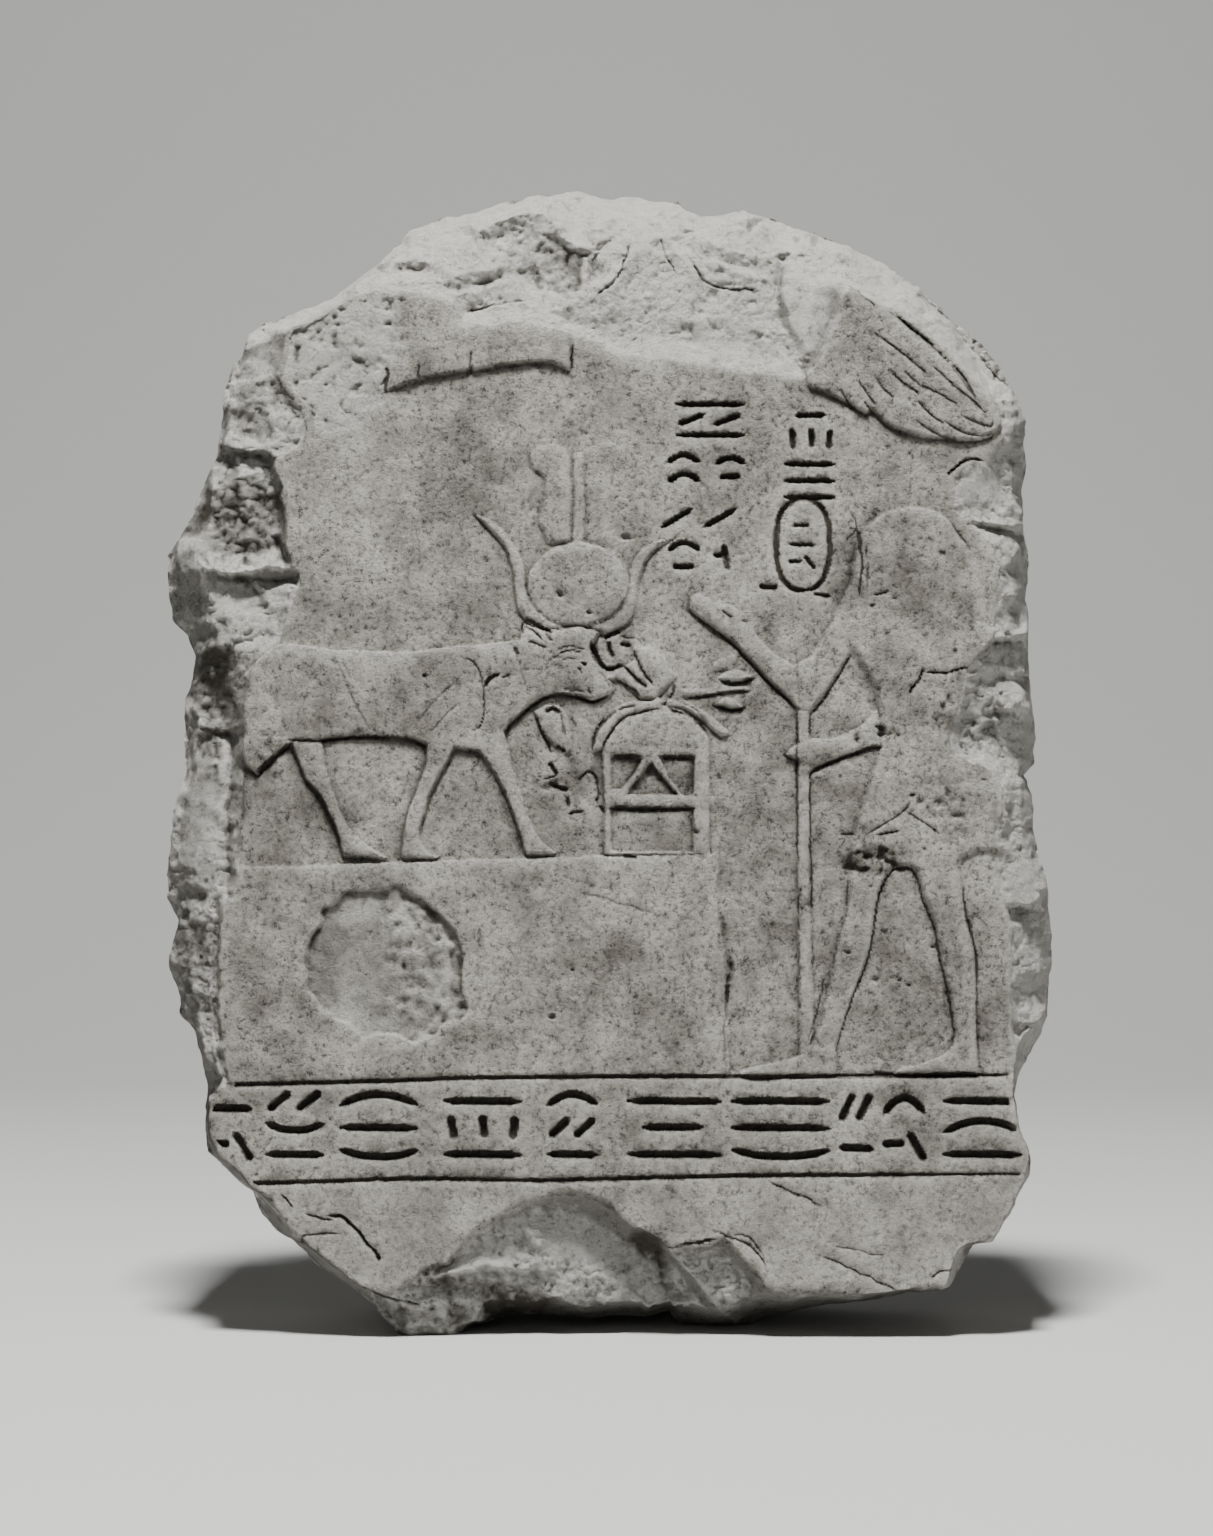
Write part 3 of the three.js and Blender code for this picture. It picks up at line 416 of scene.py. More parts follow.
# The broken surface is a net of flat facets hung between these lines.
hung = [stepped(side, 3) for side in (LEFT_SIDE, TOP_SIDE, RIGHT_SIDE, BOTTOM_SIDE)]
hung.append(stepped(sighted(FACE_EDGE + FACE_EDGE[:1]), 2.5))
hung += [stepped(sighted(line), 2.5) for line in BREAK_LINES]
hung = np.vstack(hung)
knots, _, facets, source, _, _ = delaunay_2d_cdt([Vector(p[:2]) for p in hung], [], [], 0, 1e-4)
KNOTS = np.array([[k.x, k.y, hung[s[0]][2]] for k, s in zip(knots, source)])
FACETS = KNOTS[np.array(facets)]


def facet_depth(x, z):
    """Depth of the faceted surface, flat between the lines."""
    depth = np.full(x.shape, -1.0)
    order = np.argsort(x)
    sorted_x = x[order]
    for corner in FACETS:
        (ax, az, ad), (bx, bz, bd), (cx, cz, cd) = corner
        area = (bx - ax) * (cz - az) - (cx - ax) * (bz - az)
        if abs(area) < 1e-9:
            continue
        first, last = np.searchsorted(sorted_x, [corner[:, 0].min(), corner[:, 0].max()])
        those = order[first:last]
        px, pz = x[those], z[those]
        v = ((px - ax) * (cz - az) - (cx - ax) * (pz - az)) / area
        w = ((bx - ax) * (pz - az) - (px - ax) * (bz - az)) / area
        inside = (v > -1e-6) & (w > -1e-6) & (v + w < 1 + 1e-6)
        depth[those[inside]] = (ad + v * (bd - ad) + w * (cd - ad))[inside]
    outside = np.flatnonzero(depth < 0)
    for start in range(0, len(outside), 500):
        some = outside[start:start + 500]
        away = np.hypot(x[some, None] - KNOTS[:, 0], z[some, None] - KNOTS[:, 1])
        depth[some] = KNOTS[away.argmin(axis=1), 2]
    return depth


def smooth_run(points, steps=6):
    """A smooth curve through a few points, ends included."""
    points = np.array(points, float)
    if len(points) < 3:
        return points
    padded = np.vstack([2 * points[0] - points[1], points, 2 * points[-1] - points[-2]])
    t = np.linspace(0, 1, steps, endpoint=False)[:, None]
    curve = []
    for p0, p1, p2, p3 in zip(padded, padded[1:], padded[2:], padded[3:]):
        curve.append(0.5 * (2 * p1 + (p2 - p0) * t + (2 * p0 - 5 * p1 + 4 * p2 - p3) * t ** 2
                            + (3 * p1 - p0 - 3 * p2 + p3) * t ** 3))
    return np.vstack(curve + [points[-1:]])


def near(points, x, z, margin):
    """Which places lie within a margin of a set of points' box."""
    low_corner = points.min(0) - margin
    high_corner = points.max(0) + margin
    return ((x > low_corner[0]) & (x < high_corner[0])
            & (z > low_corner[1]) & (z < high_corner[1]))


def inside_by(runs, x, z, margin=4.0):
    """How far each place lies inside a closed outline of smooth runs, negative outside, and
    how much the nearest edge faces up, from -1 to 1."""
    outline = np.vstack([smooth_run(run) for run in runs])
    distance = np.full(x.shape, -margin)
    facing = np.zeros(x.shape)
    close = near(outline, x, z, margin)
    px, pz = x[close], z[close]
    nearest = np.full(px.shape, margin ** 2)
    rise = np.zeros(px.shape)
    inside = np.zeros(px.shape, bool)
    for (ax, az), (bx, bz) in zip(outline, np.roll(outline, -1, axis=0)):
        ex, ez = bx - ax, bz - az
        length = ex * ex + ez * ez
        if length < 1e-12:
            continue
        t = np.clip(((px - ax) * ex + (pz - az) * ez) / length, 0, 1)
        away = (px - ax - t * ex) ** 2 + (pz - az - t * ez) ** 2
        closer = away < nearest
        nearest[closer] = away[closer]
        rise[closer] = (pz - az - t * ez)[closer]
        if ez:
            crossing = ((az > pz) != (bz > pz)) & (px < ax + (pz - az) * ex / ez)
            inside ^= crossing
    side = np.where(inside, 1, -1)
    distance[close] = np.sqrt(nearest) * side
    facing[close] = -side * rise / (np.sqrt(nearest) + 0.05)
    return distance, facing


def face_inside(x, z):
    """How far a place lies inside the carved face, up to 6 mm, negative outside."""
    edge = stepped(sighted(FACE_EDGE + FACE_EDGE[:1]), 4)[:-1, :2]
    zero = np.zeros_like(x)
    return inside_by([[point] for point in edge], x + 0.5 * lumps(x, zero, z, 3, 6),
                     z + 0.5 * lumps(x, zero, z, 3, 7), 6)[0]


def roughness_at(x, z):
    """1 where the break is coarse, less on the facets that broke cleanly."""
    coarse = np.ones_like(x)
    for cx, cz, half_x, half_z in SMOOTH_FACETS:
        away = np.hypot((x - cx) / half_x, (z - cz - 1) / half_z)
        coarse = np.minimum(coarse, 0.25 + 0.75 * ease(away * 2.2 - 1.4))
    return coarse


def broken_surface(x, z, inside):
    """How far the broken front lies behind the ground of the relief."""
    zero = np.zeros_like(x)
    shift_x = 0.7 * rough(x, zero, z, 5, 15, 3)
    shift_z = 0.7 * rough(x, zero, z, 5, 19, 3)
    depth = facet_depth(x + shift_x, z + shift_z)
    crust = ease(-inside / 1.5) * roughness_at(x, z)
    small = 0.9 * flakes(x + shift_x, z + shift_z, 8, 11) + 0.55 * flakes(x, z, 3.6, 31)
    crests = 1 - np.abs(rough(x, zero, z, 2.6, 23, 3))
    return depth + crust * (small + 0.5 * crests ** 3 + 0.28 * rough(x, zero, z, 1.7, 3, 2)
                            + 0.9 * np.clip(rough(x, zero, z, 1.8, 27, 2) - 0.55, 0, 1))


# ---- The figures ----
# The ground round the figures was cut back with a flat chisel, so they stand out about a
# millimetre. Each is an outline of smooth runs that meet in corners, how far it stands out,
# how wide its rounded edge is, and how deeply the chisel cut in along it.
FIGURES = [
    # platform
    ([[(-125, 118.3), (-86, 118.4), (-70, 118.8), (-40, 119.9), (-20, 120.4),
       (-4, 121), (22, 121.5), (27.5, 121.5)],
      [(27.6, 108), (29.5, 92), (30.2, 66.5)],
      [(60, 66), (125, 66)], [(125, -20), (-125, -20)]], 0.8, 0.9, 0.12),
    # left wing
    ([[(-57, 237), (-45, 240.5), (-30, 243), (-17, 244.5), (-9.5, 242.5)],
      [(-9.3, 300)], [(-76, 300)], [(-72, 256), (-64, 246)]], 1.2, 0.7, 0.2),
    # right wing
    ([[(50, 238.5), (57, 235.6), (64.5, 231.3)], [(66, 232.3), (71, 228.3),
       (78, 225.9), (84, 225.3), (88, 225), (94, 225.3), (98.5, 228.6)],
      [(97.5, 233), (95, 236)], [(90.5, 238.8), (84, 246), (75, 253.5), (70, 258)],
      [(60, 290)], [(48, 270)]], 1.2, 0.7, 0.35),
    # cow
    ([[(-97, 160), (-90, 168), (-82, 174), (-69, 172.5), (-50, 172), (-40, 173.2),
       (-31, 174), (-22, 175)],
      [(-21.3, 179), (-15, 177.3), (-8, 178.5), (-2, 177)],
      [(-4.5, 173), (-3.7, 170), (-1.5, 166.5), (0.6, 164.6)],
      [(1.2, 162.5), (-0.5, 161.2), (-3.5, 159.7)],
      [(-6, 160.6), (-10, 161), (-15, 161), (-18.5, 159.3), (-22, 156.3), (-26, 152.3)],
      [(-25.6, 149.5), (-24.3, 144), (-22, 137), (-20, 130), (-17, 125), (-13, 121.3)],
      [(-20.5, 121.2)],
      [(-22.3, 126.5), (-24.8, 134), (-28, 140.5), (-32, 147)],
      [(-38.5, 148)],
      [(-41, 143), (-44.3, 137), (-46.4, 130), (-47.2, 125.5), (-45.5, 122.3), (-42.5, 120.5)],
      [(-52, 120.3)],
      [(-51.3, 126), (-49.8, 133), (-47.5, 139), (-45.6, 144), (-45.6, 148.8)],
      [(-50, 150), (-62, 150.9), (-72, 150)],
      [(-71, 144), (-69, 137), (-66.3, 130.5), (-63.5, 126), (-59.5, 122.7), (-55.5, 120.3)],
      [(-66.3, 120.6)],
      [(-67.5, 125.5), (-70, 131.5), (-73, 137), (-76, 140.5), (-79.3, 149)],
      [(-82, 147), (-88, 141.3)],
      [(-97, 148)]], 1.25, 0.7, 0.4),
    # left horn
    ([[(-33.6, 206.6), (-30.6, 203.6), (-27.2, 200), (-24.9, 196), (-23.6, 191),
       (-23.1, 186), (-22, 181.6), (-18.6, 178.4), (-14.2, 177.2)], [(-8, 178.8)],
      [(-13, 180), (-17.5, 183.3), (-20.2, 187), (-21, 192), (-22.6, 196.6),
       (-26, 201.8), (-30, 205.4)]], 0.8, 0.7, 0.4),
    # right horn
    ([[(17.2, 201.2), (13.4, 199), (9.8, 195.4), (7.9, 191), (7.1, 187),
       (6.6, 182.5), (5, 179.3), (2.5, 177.7), (-0.8, 176.3)], [(-6, 178.6)],
      [(-1.5, 180), (2.8, 183), (5, 187.5), (5.4, 192.3), (7.4, 196.8),
       (11, 199.4)]], 0.75, 0.7, 0.35),
    # disk
    ([[(-7.5 + 12.6 * math.cos(a), 188.9 + 10.5 * math.sin(a))
       for a in np.linspace(0, 2 * math.pi, 41)[:-1]]], 0.95, 0.7, 0.4),
    # left plume
    ([[(-9.4, 199.5), (-9.2, 212), (-9.9, 222.3)],
      [(-12.5, 224), (-16, 224.2), (-18.6, 223), (-19.6, 220.5), (-18.6, 217.8),
       (-16, 215.6)],
      [(-15.7, 211), (-17, 207), (-17.4, 204.5), (-15.5, 201)], [(-15, 199)]],
     0.5, 1.0, 0.22),
    # middle spine
    ([[(-8.8, 199), (-8.4, 212), (-8.6, 222)], [(-6.3, 222), (-6.2, 211),
       (-6.3, 199)]], 0.4, 0.5, 0.22),
    # right plume
    ([[(-5.4, 199.5), (-5.6, 212), (-5.4, 222)],
      [(-2.5, 224.2), (0.5, 225), (3.2, 223.6), (3.6, 221), (2.4, 218.6),
       (0.3, 216.4)], [(0.6, 209), (1.8, 204), (1.5, 198.5)]], 0.35, 1.3, 0.1),
    # altar
    ([[(-1, 121.3)], [(25.3, 121.3)], [(25.2, 150), (21, 156), (14, 158.6), (9, 158.2),
       (3.5, 156.3), (0, 152.3), (-1.6, 147)], [(-0.8, 134)]], 0.85, 0.6, 0.4),
    # left stem
    ([[(-4.3, 146.5), (-3.3, 151.5), (-1, 155), (2, 158), (6, 159.7), (10, 159.6),
       (12.5, 160.6)], [(14.6, 159.6)], [(12.6, 157.9), (9.5, 157.4), (4, 155.6),
       (1, 152.6), (-1.6, 147.6)]], 0.95, 0.6, 0.35),
    # right stem
    ([[(15, 160.3), (19.5, 159.5), (24, 157.3), (27.4, 154.6), (30.3, 151.4)],
      [(28.2, 150.8)], [(25.4, 153), (22.5, 155.8), (19, 157.7), (14.6, 158.4)]],
     0.9, 0.6, 0.35),
    # lotus
    ([[(-0.6, 165.2), (3.4, 164), (6.5, 161.5), (8, 160)], [(12.2, 160.2), (14.2, 162.8)],
      [(17, 166), (14.6, 170), (10.5, 173), (6.2, 173.3)], [(6.6, 170), (4, 168.5),
       (1.5, 167)]], 0.7, 0.8, 0.35),
    # bud stem
    ([[(18.5, 163.2), (22.5, 162.9), (25.3, 163.2), (27.5, 165.2)], [(29, 163.8)],
      [(35, 163)], [(35.2, 162.3), (30, 161.8), (25, 160.8), (18.5, 160.9)]],
     0.55, 0.7, 0.25),
    # upper bud
    ([[(27.4, 165.3), (29.3, 167), (32.5, 167.4), (36.4, 165.6)],
      [(33.8, 164.5), (30.8, 164.2)]], 0.95, 0.6, 0.5),
    # lower bud
    ([[(26.5, 158.9), (29, 160.6), (31, 160.3), (34, 158)], [(31, 157.6)]],
     0.9, 0.6, 0.45),
    # far lotus
    ([[(28.4, 167.4), (31, 167.8), (32.7, 171.8)], [(30, 171), (26.5, 169.6),
       (25.5, 167.5)]], 0.45, 0.8, 0.2),
    # hanging loop
    ([[(-18.7, 157), (-16, 158.5), (-13, 158.7), (-10.6, 156.5), (-9.2, 152),
       (-8.8, 147.3)], [(-10.4, 146.3)], [(-13.4, 148.2), (-16.6, 151.7)]],
     0.65, 0.8, 0.35),
    # bouquet
    ([[(-8.8, 157), (-4.8, 153.5), (-3.6, 147)], [(-4.4, 140.5)],
      [(-8.7, 140.5)], [(-9, 148)]], 0.4, 1.0, 0.15),
    # worshipper
    ([[(61.5, 197), (63, 201.6), (66, 205.3), (70, 207.4), (76, 208.7), (81, 207.9),
       (85, 205.7), (88.3, 201), (91, 197.3), (93.4, 191.5), (94.8, 185),
       (95.5, 178)],
      [(125, 178)], [(125, 120)],
      [(92, 121.6), (88, 119), (88.4, 114), (89.2, 108), (91.2, 99), (92.2, 91),
       (92.5, 79), (93.2, 66.5)],
      [(71.3, 66.3)],
      [(73, 68), (78, 68.9), (83, 70.8), (86.3, 74)],
      [(86.2, 78), (85.2, 86), (83.5, 93), (81.8, 102), (79, 110), (77.6, 115.5),
       (75.6, 117.6), (72.5, 117.3), (70, 115), (68, 110.5), (66.8, 104)],
      [(66.4, 100), (64.6, 93), (62, 86), (59.6, 79.5), (57.8, 75), (56, 66.4)],
      [(32.8, 65.3)],
      [(33.2, 67.4), (37, 68.3), (43, 69.6), (47.5, 71)],
      [(50.3, 73.7), (52.3, 78), (54.3, 85), (56, 94), (57.6, 101), (59.2, 106.5),
       (60, 113), (60.4, 122)],
      [(61.6, 128), (64.4, 137), (67.8, 147.6)],
      [(67.5, 157.8), (66, 164), (61.2, 171.8)],
      [(58, 166), (56, 162.3), (50.4, 156.4)],
      [(50.4, 171.5), (54, 176.5), (57.5, 184), (60.5, 190)]],
     0.8, 1.6, 0.12),
    # arm
    ([[(47.4, 157.4)],
      [(44, 161), (39, 165.7), (33, 172.6), (30, 175), (25, 178.3), (20, 182.6)],
      [(20.6, 185.7), (22.4, 186.6), (26, 185), (30.5, 181.6)],
      [(34, 179.7), (37.5, 175.7), (41.5, 171.6), (46.3, 168.6)],
      [(52, 172)], [(57, 166.4)], [(50.4, 156.4)]], 0.95, 0.9, 0.35),
    # forearm
    ([[(50.4, 141.5)],
      [(47.6, 141.8)], [(47.6, 145), (44.4, 146.4)],
      [(45.5, 147.8), (48.5, 149.5), (51.5, 150.3), (55, 150), (59, 151.5),
       (63.5, 154), (67.5, 157.8)],
      [(68.4, 148)], [(62, 146.9), (56, 144.8), (51.6, 143)]], 0.95, 0.8, 0.4),
    # back foot
    ([[(87.6, 78), (86.3, 74), (83, 70.8), (78, 68.9), (73, 68), (71.3, 66.3)],
      [(92.4, 66.4)], [(92.4, 76)]], 0.95, 0.8, 0.4),
    # front foot
    ([[(50.3, 73.7), (47.5, 71), (43, 69.6), (37, 68.3), (33.2, 67.4), (32.8, 65.3)],
      [(57, 66.2)], [(57, 73)]], 0.95, 0.8, 0.3),
    # open hand
    ([[(26.5, 183.7), (29.5, 183.8), (33, 182.2), (34.6, 180)], [(31.4, 179.6)],
      [(29, 181.3)]], 0.9, 0.6, 0.4),
    # staff
    ([[(47.9, 66.4)], [(47.5, 110), (47.5, 157.4)], [(50.3, 157.4)],
      [(50.4, 110), (51, 90)], [(51.2, 76)], [(49, 66.4)]], 0.7, 0.6, 0.3),
    # fist
    ([[(44.4, 146.4), (46, 148.2), (48.7, 149.6), (51.6, 150.3)], [(54, 150.1)],
      [(53.5, 146), (51.6, 143.2)], [(47.8, 144.6)]], 1.15, 0.6, 0.1),
]
# The openings under the altar's top, cut back to the ground.
ALTAR_OPENINGS = [
    [[(0.4, 133)], [(21.4, 133)], [(21.4, 122)], [(0.6, 122)]],
    [[(0.6, 145.5)], [(8.6, 145.5)], [(6.5, 141.5), (3.2, 137.7)], [(0.6, 137.5)]],
    [[(12.8, 145.5)], [(21.6, 145.5)], [(21.4, 136)], [(18.6, 136)], [(15, 140.5)]],
    [[(10.7, 144.2)], [(5.2, 137.6)], [(4.6, 136.2)], [(17.4, 136.2)]],
]


def relief(x, z):
    """How far the figures stand out from the ground, and how near a place is to their edge.
    The chisel cut in under the lower edges, and the upper ones were left as a clean slope."""
    rise = np.zeros_like(x)
    crease = np.zeros_like(x)
    zero = np.zeros_like(x)
    patchy = ease(0.62 + 0.75 * lumps(x, zero, z, 7, 91))
    bent_x = x + 0.18 * rough(x, zero, z, 3, 92, 2)
    bent_z = z + 0.18 * rough(x, zero, z, 3, 94, 2)
    for runs, height, edge, cut in FIGURES:
        inside, facing = inside_by(runs, bent_x, bent_z)
        swell = 0.16 * height * (1 - np.exp(-np.maximum(inside, 0) / 2.5))
        body = (0.86 * height + swell) * ease((inside + 0.2) / (edge * (1 - 0.4 * facing)))
        under = np.clip(0.62 - 0.75 * facing, 0, 1) * patchy
        line = under * np.exp(-((inside + 0.35) / 0.34) ** 2)
        rise = np.where(inside > -0.2, np.maximum(rise, body), rise) - cut * line
        crease = np.maximum(crease * (inside < 0.3), line * min(1, cut * 2.2))
    for runs in ALTAR_OPENINGS:
        inside, _ = inside_by(runs, x, z)
        rise = rise * (1 - ease((inside + 0.3) / 0.6)) - 0.1 * np.exp(-((inside - 0.3) / 0.4) ** 2)
        crease = np.maximum(crease, 0.6 * np.exp(-((inside - 0.3) / 0.4) ** 2))
    return rise, crease


# ---- The cut lines ----
# Details inside the figures, the ruled lines and the writing are cut with the corner of the
# chisel. Each line has its points, its width and its depth.
LINES = [
    # cow: shoulder, slit before it, neck, ear, brow, muzzle, flank
    ([(-37, 171), (-33.7, 169.3), (-31.9, 166), (-31.2, 161), (-31.2, 156.5), (-32, 153.6),
      (-34, 152.3)], 0.6, 0.4),
    ([(-30.8, 163.6), (-29.4, 165.6), (-27.6, 166.4)], 1.2, 0.9),
    ([(-26.6, 165.4), (-24.9, 166.2)], 0.7, 0.4),
    ([(-23.5, 173.2), (-22.7, 171.2)], 1.2, 0.45),
    ([(-22.4, 170), (-21.4, 166), (-20, 161.7)], 0.5, 0.25),
    ([(-20.8, 180.6), (-17.5, 178.6), (-14.2, 176.8)], 1.1, 0.8),
    ([(-15.8, 176.6), (-14.2, 174.8)], 0.9, 0.5),
    ([(-20.9, 178.4), (-18.2, 176.9), (-16.4, 174.7)], 0.8, 0.6),
    ([(-20.2, 174.8), (-17.2, 173.7), (-15, 173)], 0.7, 0.5),
    ([(-21.6, 179), (-21.4, 176.4)], 0.8, 0.6),
    ([(-13, 172.4), (-10.5, 173.3), (-7.4, 173), (-5.6, 172.4)], 0.55, 0.35),
    ([(-12.4, 171.6), (-9.6, 172.3), (-7, 172)], 0.55, 0.4),
    ([(-15, 169.7), (-13.5, 170.7), (-12.4, 171)], 0.7, 0.35),
    ([(-11.6, 170), (-9.6, 170.5), (-7.6, 170.2)], 0.5, 0.3),
    ([(-15.2, 168.2), (-12.4, 169)], 0.5, 0.25),
    ([(-6.6, 169.3), (-5.6, 168.8)], 1.0, 0.7),
    ([(-7.6, 168.2), (-6.8, 166.8)], 0.6, 0.4),
    ([(-5.2, 162.4), (-4.2, 161.6)], 0.7, 0.4),
    ([(-10, 161.9), (-8, 162.3), (-5.8, 162)], 0.9, 0.3),
    ([(-2.4, 167), (-0.6, 165.2), (0.6, 162.4)], 0.8, 0.45),
    ([(-26, 152), (-24, 154.6), (-20, 157.9), (-15.5, 160.8), (-12, 161.3), (-8, 160.8),
      (-4.5, 159.6), (-2.5, 160), (0, 161)], 0.9, 0.7),
    ([(-68.5, 171), (-66.5, 166.8), (-64.4, 161), (-61.5, 155.8), (-59.3, 151.8)], 0.7, 0.25),
    ([(-66.5, 170), (-64.3, 165)], 0.7, 0.2),
    ([(-48, 154.4), (-43.4, 160), (-39.5, 163.5), (-36.5, 165)], 0.6, 0.25),
    ([(-45, 151.4), (-41, 156), (-37, 159.5)], 0.6, 0.25),
    ([(-80, 150), (-72, 149.8), (-62, 150.8), (-50, 150.3), (-45.6, 148.2)], 1.0, 0.6),
    ([(-79.6, 149), (-83.5, 146), (-88, 141.6)], 1.4, 0.8),
    # hook before the muzzle
    ([(-4.4, 174.6), (-3.4, 172), (-2.5, 170), (-1.2, 168.4), (0.2, 167.8), (2, 168.2),
      (3.4, 169)], 1.3, 1.1),
    ([(0.2, 174.6), (0.3, 172.6), (1.2, 171)], 1.1, 0.8),
    ([(-0.8, 175.6), (0.8, 176.5), (2.8, 177.2)], 1.3, 0.9),
    ([(3.2, 174), (5.2, 173.8)], 1.5, 0.9),
    ([(3, 176), (5, 175.5), (6.6, 175.8)], 0.6, 0.4),
    # lotus petals
    ([(6.3, 172.6), (7, 170.4), (8, 168), (9.6, 165.6), (11.2, 163.8)], 0.8, 0.6),
    ([(3.7, 168.6), (5.5, 166.8), (7.5, 164.8), (9.6, 163.2)], 1.1, 0.7),
    ([(1.6, 165.2), (4, 164), (6, 162.8), (7.6, 161.2)], 0.8, 0.5),
    ([(16.6, 164), (16.2, 161.8), (15.2, 160.4)], 0.9, 0.4),
    # stems and buds
    ([(2, 157.5), (5, 158.3), (7, 158.6)], 0.6, 0.45),
    ([(-4.2, 147.5), (-3.2, 151.5), (-2.2, 153.5), (0, 155.5), (2.2, 157.6)], 1.0, 0.6),
    ([(-1.6, 148), (0, 151), (2, 153.8), (4.5, 156), (7.5, 156.8), (12, 157.8)], 0.8, 0.5),
    ([(16, 160.4), (21, 158), (25.7, 153.3)], 0.6, 0.35),
    ([(15, 157.6), (20, 156), (24.6, 152)], 0.8, 0.5),
    ([(20, 160.5), (25, 161), (30, 162), (35, 162.2)], 0.8, 0.6),
    ([(28.6, 164.5), (32, 164.3), (36, 165.2)], 1.1, 0.7),
    ([(27.6, 158.4), (31, 157.6), (34.2, 158)], 1.0, 0.6),
    # bouquet under the head
    ([(-15.6, 157), (-14, 157.9), (-12.4, 157)], 1.4, 0.7),
    ([(-18.3, 156), (-17, 152.5), (-15.5, 149.5), (-14.4, 146.6)], 0.8, 0.6),
    ([(-13, 148.6), (-11, 147.2)], 0.9, 0.8),
    ([(-12, 157), (-11.4, 154), (-10.8, 150.8)], 0.9, 0.4),
    ([(-9.4, 155.6), (-8, 153)], 0.8, 0.35),
    ([(-14.8, 144.3), (-13, 141.3)], 1.1, 0.8),
    ([(-16, 140), (-13, 141)], 0.6, 0.4),
    ([(-15, 139.5), (-12.5, 138), (-10, 137.6)], 1.2, 0.8),
    ([(-7.6, 140.2), (-5, 142), (-3.2, 140.6), (-2.6, 137), (-3, 134)], 0.9, 0.5),
    ([(-10, 131.5), (-6, 132.2)], 0.8, 0.5),
    ([(-10.2, 136), (-10, 133)], 0.8, 0.4),
    ([(-2.4, 133.6), (-0.8, 131.6)], 0.8, 0.6),
    # altar: under the bars, foot
    ([(0.8, 145.8), (8.3, 145.8)], 1.2, 0.6),
    ([(12.7, 145.8), (21.6, 145.7)], 1.4, 0.8),
    ([(0.3, 133), (10, 132.7), (21.5, 133)], 1.5, 0.8),
    ([(-0.5, 149.2), (12, 148.6), (24, 148)], 0.6, 0.15),
    ([(3.6, 120.9), (7, 120.6)], 1.2, 0.6),
    # worshipper: arm, hand, kilt, leg
    ([(20, 182.4), (26, 177.9), (30, 174.8), (33, 172), (38, 166.6), (43, 161.8), (47, 158)],
     0.7, 0.55),
    ([(50.4, 156.2), (54, 160.4), (57.3, 165.6), (60.6, 171.4)], 0.7, 0.5),
    ([(28.4, 182.4), (31, 180.6)], 0.9, 0.5),
    ([(51, 142), (55, 144), (61, 146.4), (66.5, 148.2), (68.2, 148.1)], 1.2, 0.7),
    ([(67, 153.6), (69, 152.6)], 1.3, 0.6),
    ([(64, 126), (70, 129.6), (74.2, 132.5), (75.5, 134.7)], 0.6, 0.35),
    ([(74, 132.2), (79, 129.3), (83, 126.3)], 0.6, 0.35),
    ([(57.7, 126.4), (62, 126.4)], 0.7, 0.35),
    ([(67, 126.2), (73, 127.2)], 0.8, 0.45),
    ([(75.6, 136.2), (77, 136.3)], 0.9, 0.5),
    ([(66.3, 186.3), (69.8, 187)], 0.9, 0.5),
    ([(75, 161.3), (77, 164.6), (79.5, 168)], 0.7, 0.3),
    ([(67.6, 161.5), (69, 157)], 0.5, 0.2),
    ([(85.3, 205.2), (88.4, 200.5), (90.6, 197.6)], 0.8, 0.4),
    # legs, staff and feet
    ([(60.2, 119), (59.6, 107.3), (57.6, 100), (56.3, 94)], 0.5, 0.25),
    ([(54, 91), (53.2, 85.6), (51.6, 79.8), (50, 75)], 0.6, 0.35),
    ([(57, 72), (59, 79.5), (62.5, 89), (65.5, 97), (67, 107), (68, 112), (70, 116), (72, 117.7),
      (75.5, 117.7), (77.2, 115), (79, 109), (81.5, 103), (82.5, 97), (84, 91), (85.5, 83),
      (86.3, 78), (86, 73.5)], 0.6, 0.5),
    ([(88.4, 114), (90, 104), (92, 96), (92.2, 81), (92.8, 68)], 0.7, 0.35),
    ([(47.3, 157), (47.2, 140), (47.4, 120)], 0.6, 0.4),
    ([(47.5, 112), (47.9, 92), (48.6, 74)], 0.5, 0.3),
    ([(50.4, 156), (50.5, 151.4)], 0.6, 0.4),
    ([(50.5, 141), (50.6, 126), (51, 106)], 0.6, 0.4),
    ([(51.2, 100), (51.6, 86)], 0.5, 0.25),
    ([(47.8, 159), (47.2, 168), (46.4, 176)], 0.6, 0.2),
    ([(50.4, 158), (51.6, 166), (52.6, 172)], 0.6, 0.2),
    ([(33, 65.2), (40, 64.8), (47, 65.9), (55, 65.4)], 0.8, 0.5),
    ([(66.5, 66.6), (71.5, 66.4)], 1.2, 0.5),
    ([(81, 66.7), (88, 66.5), (92, 66.6)], 1.0, 0.6),
]
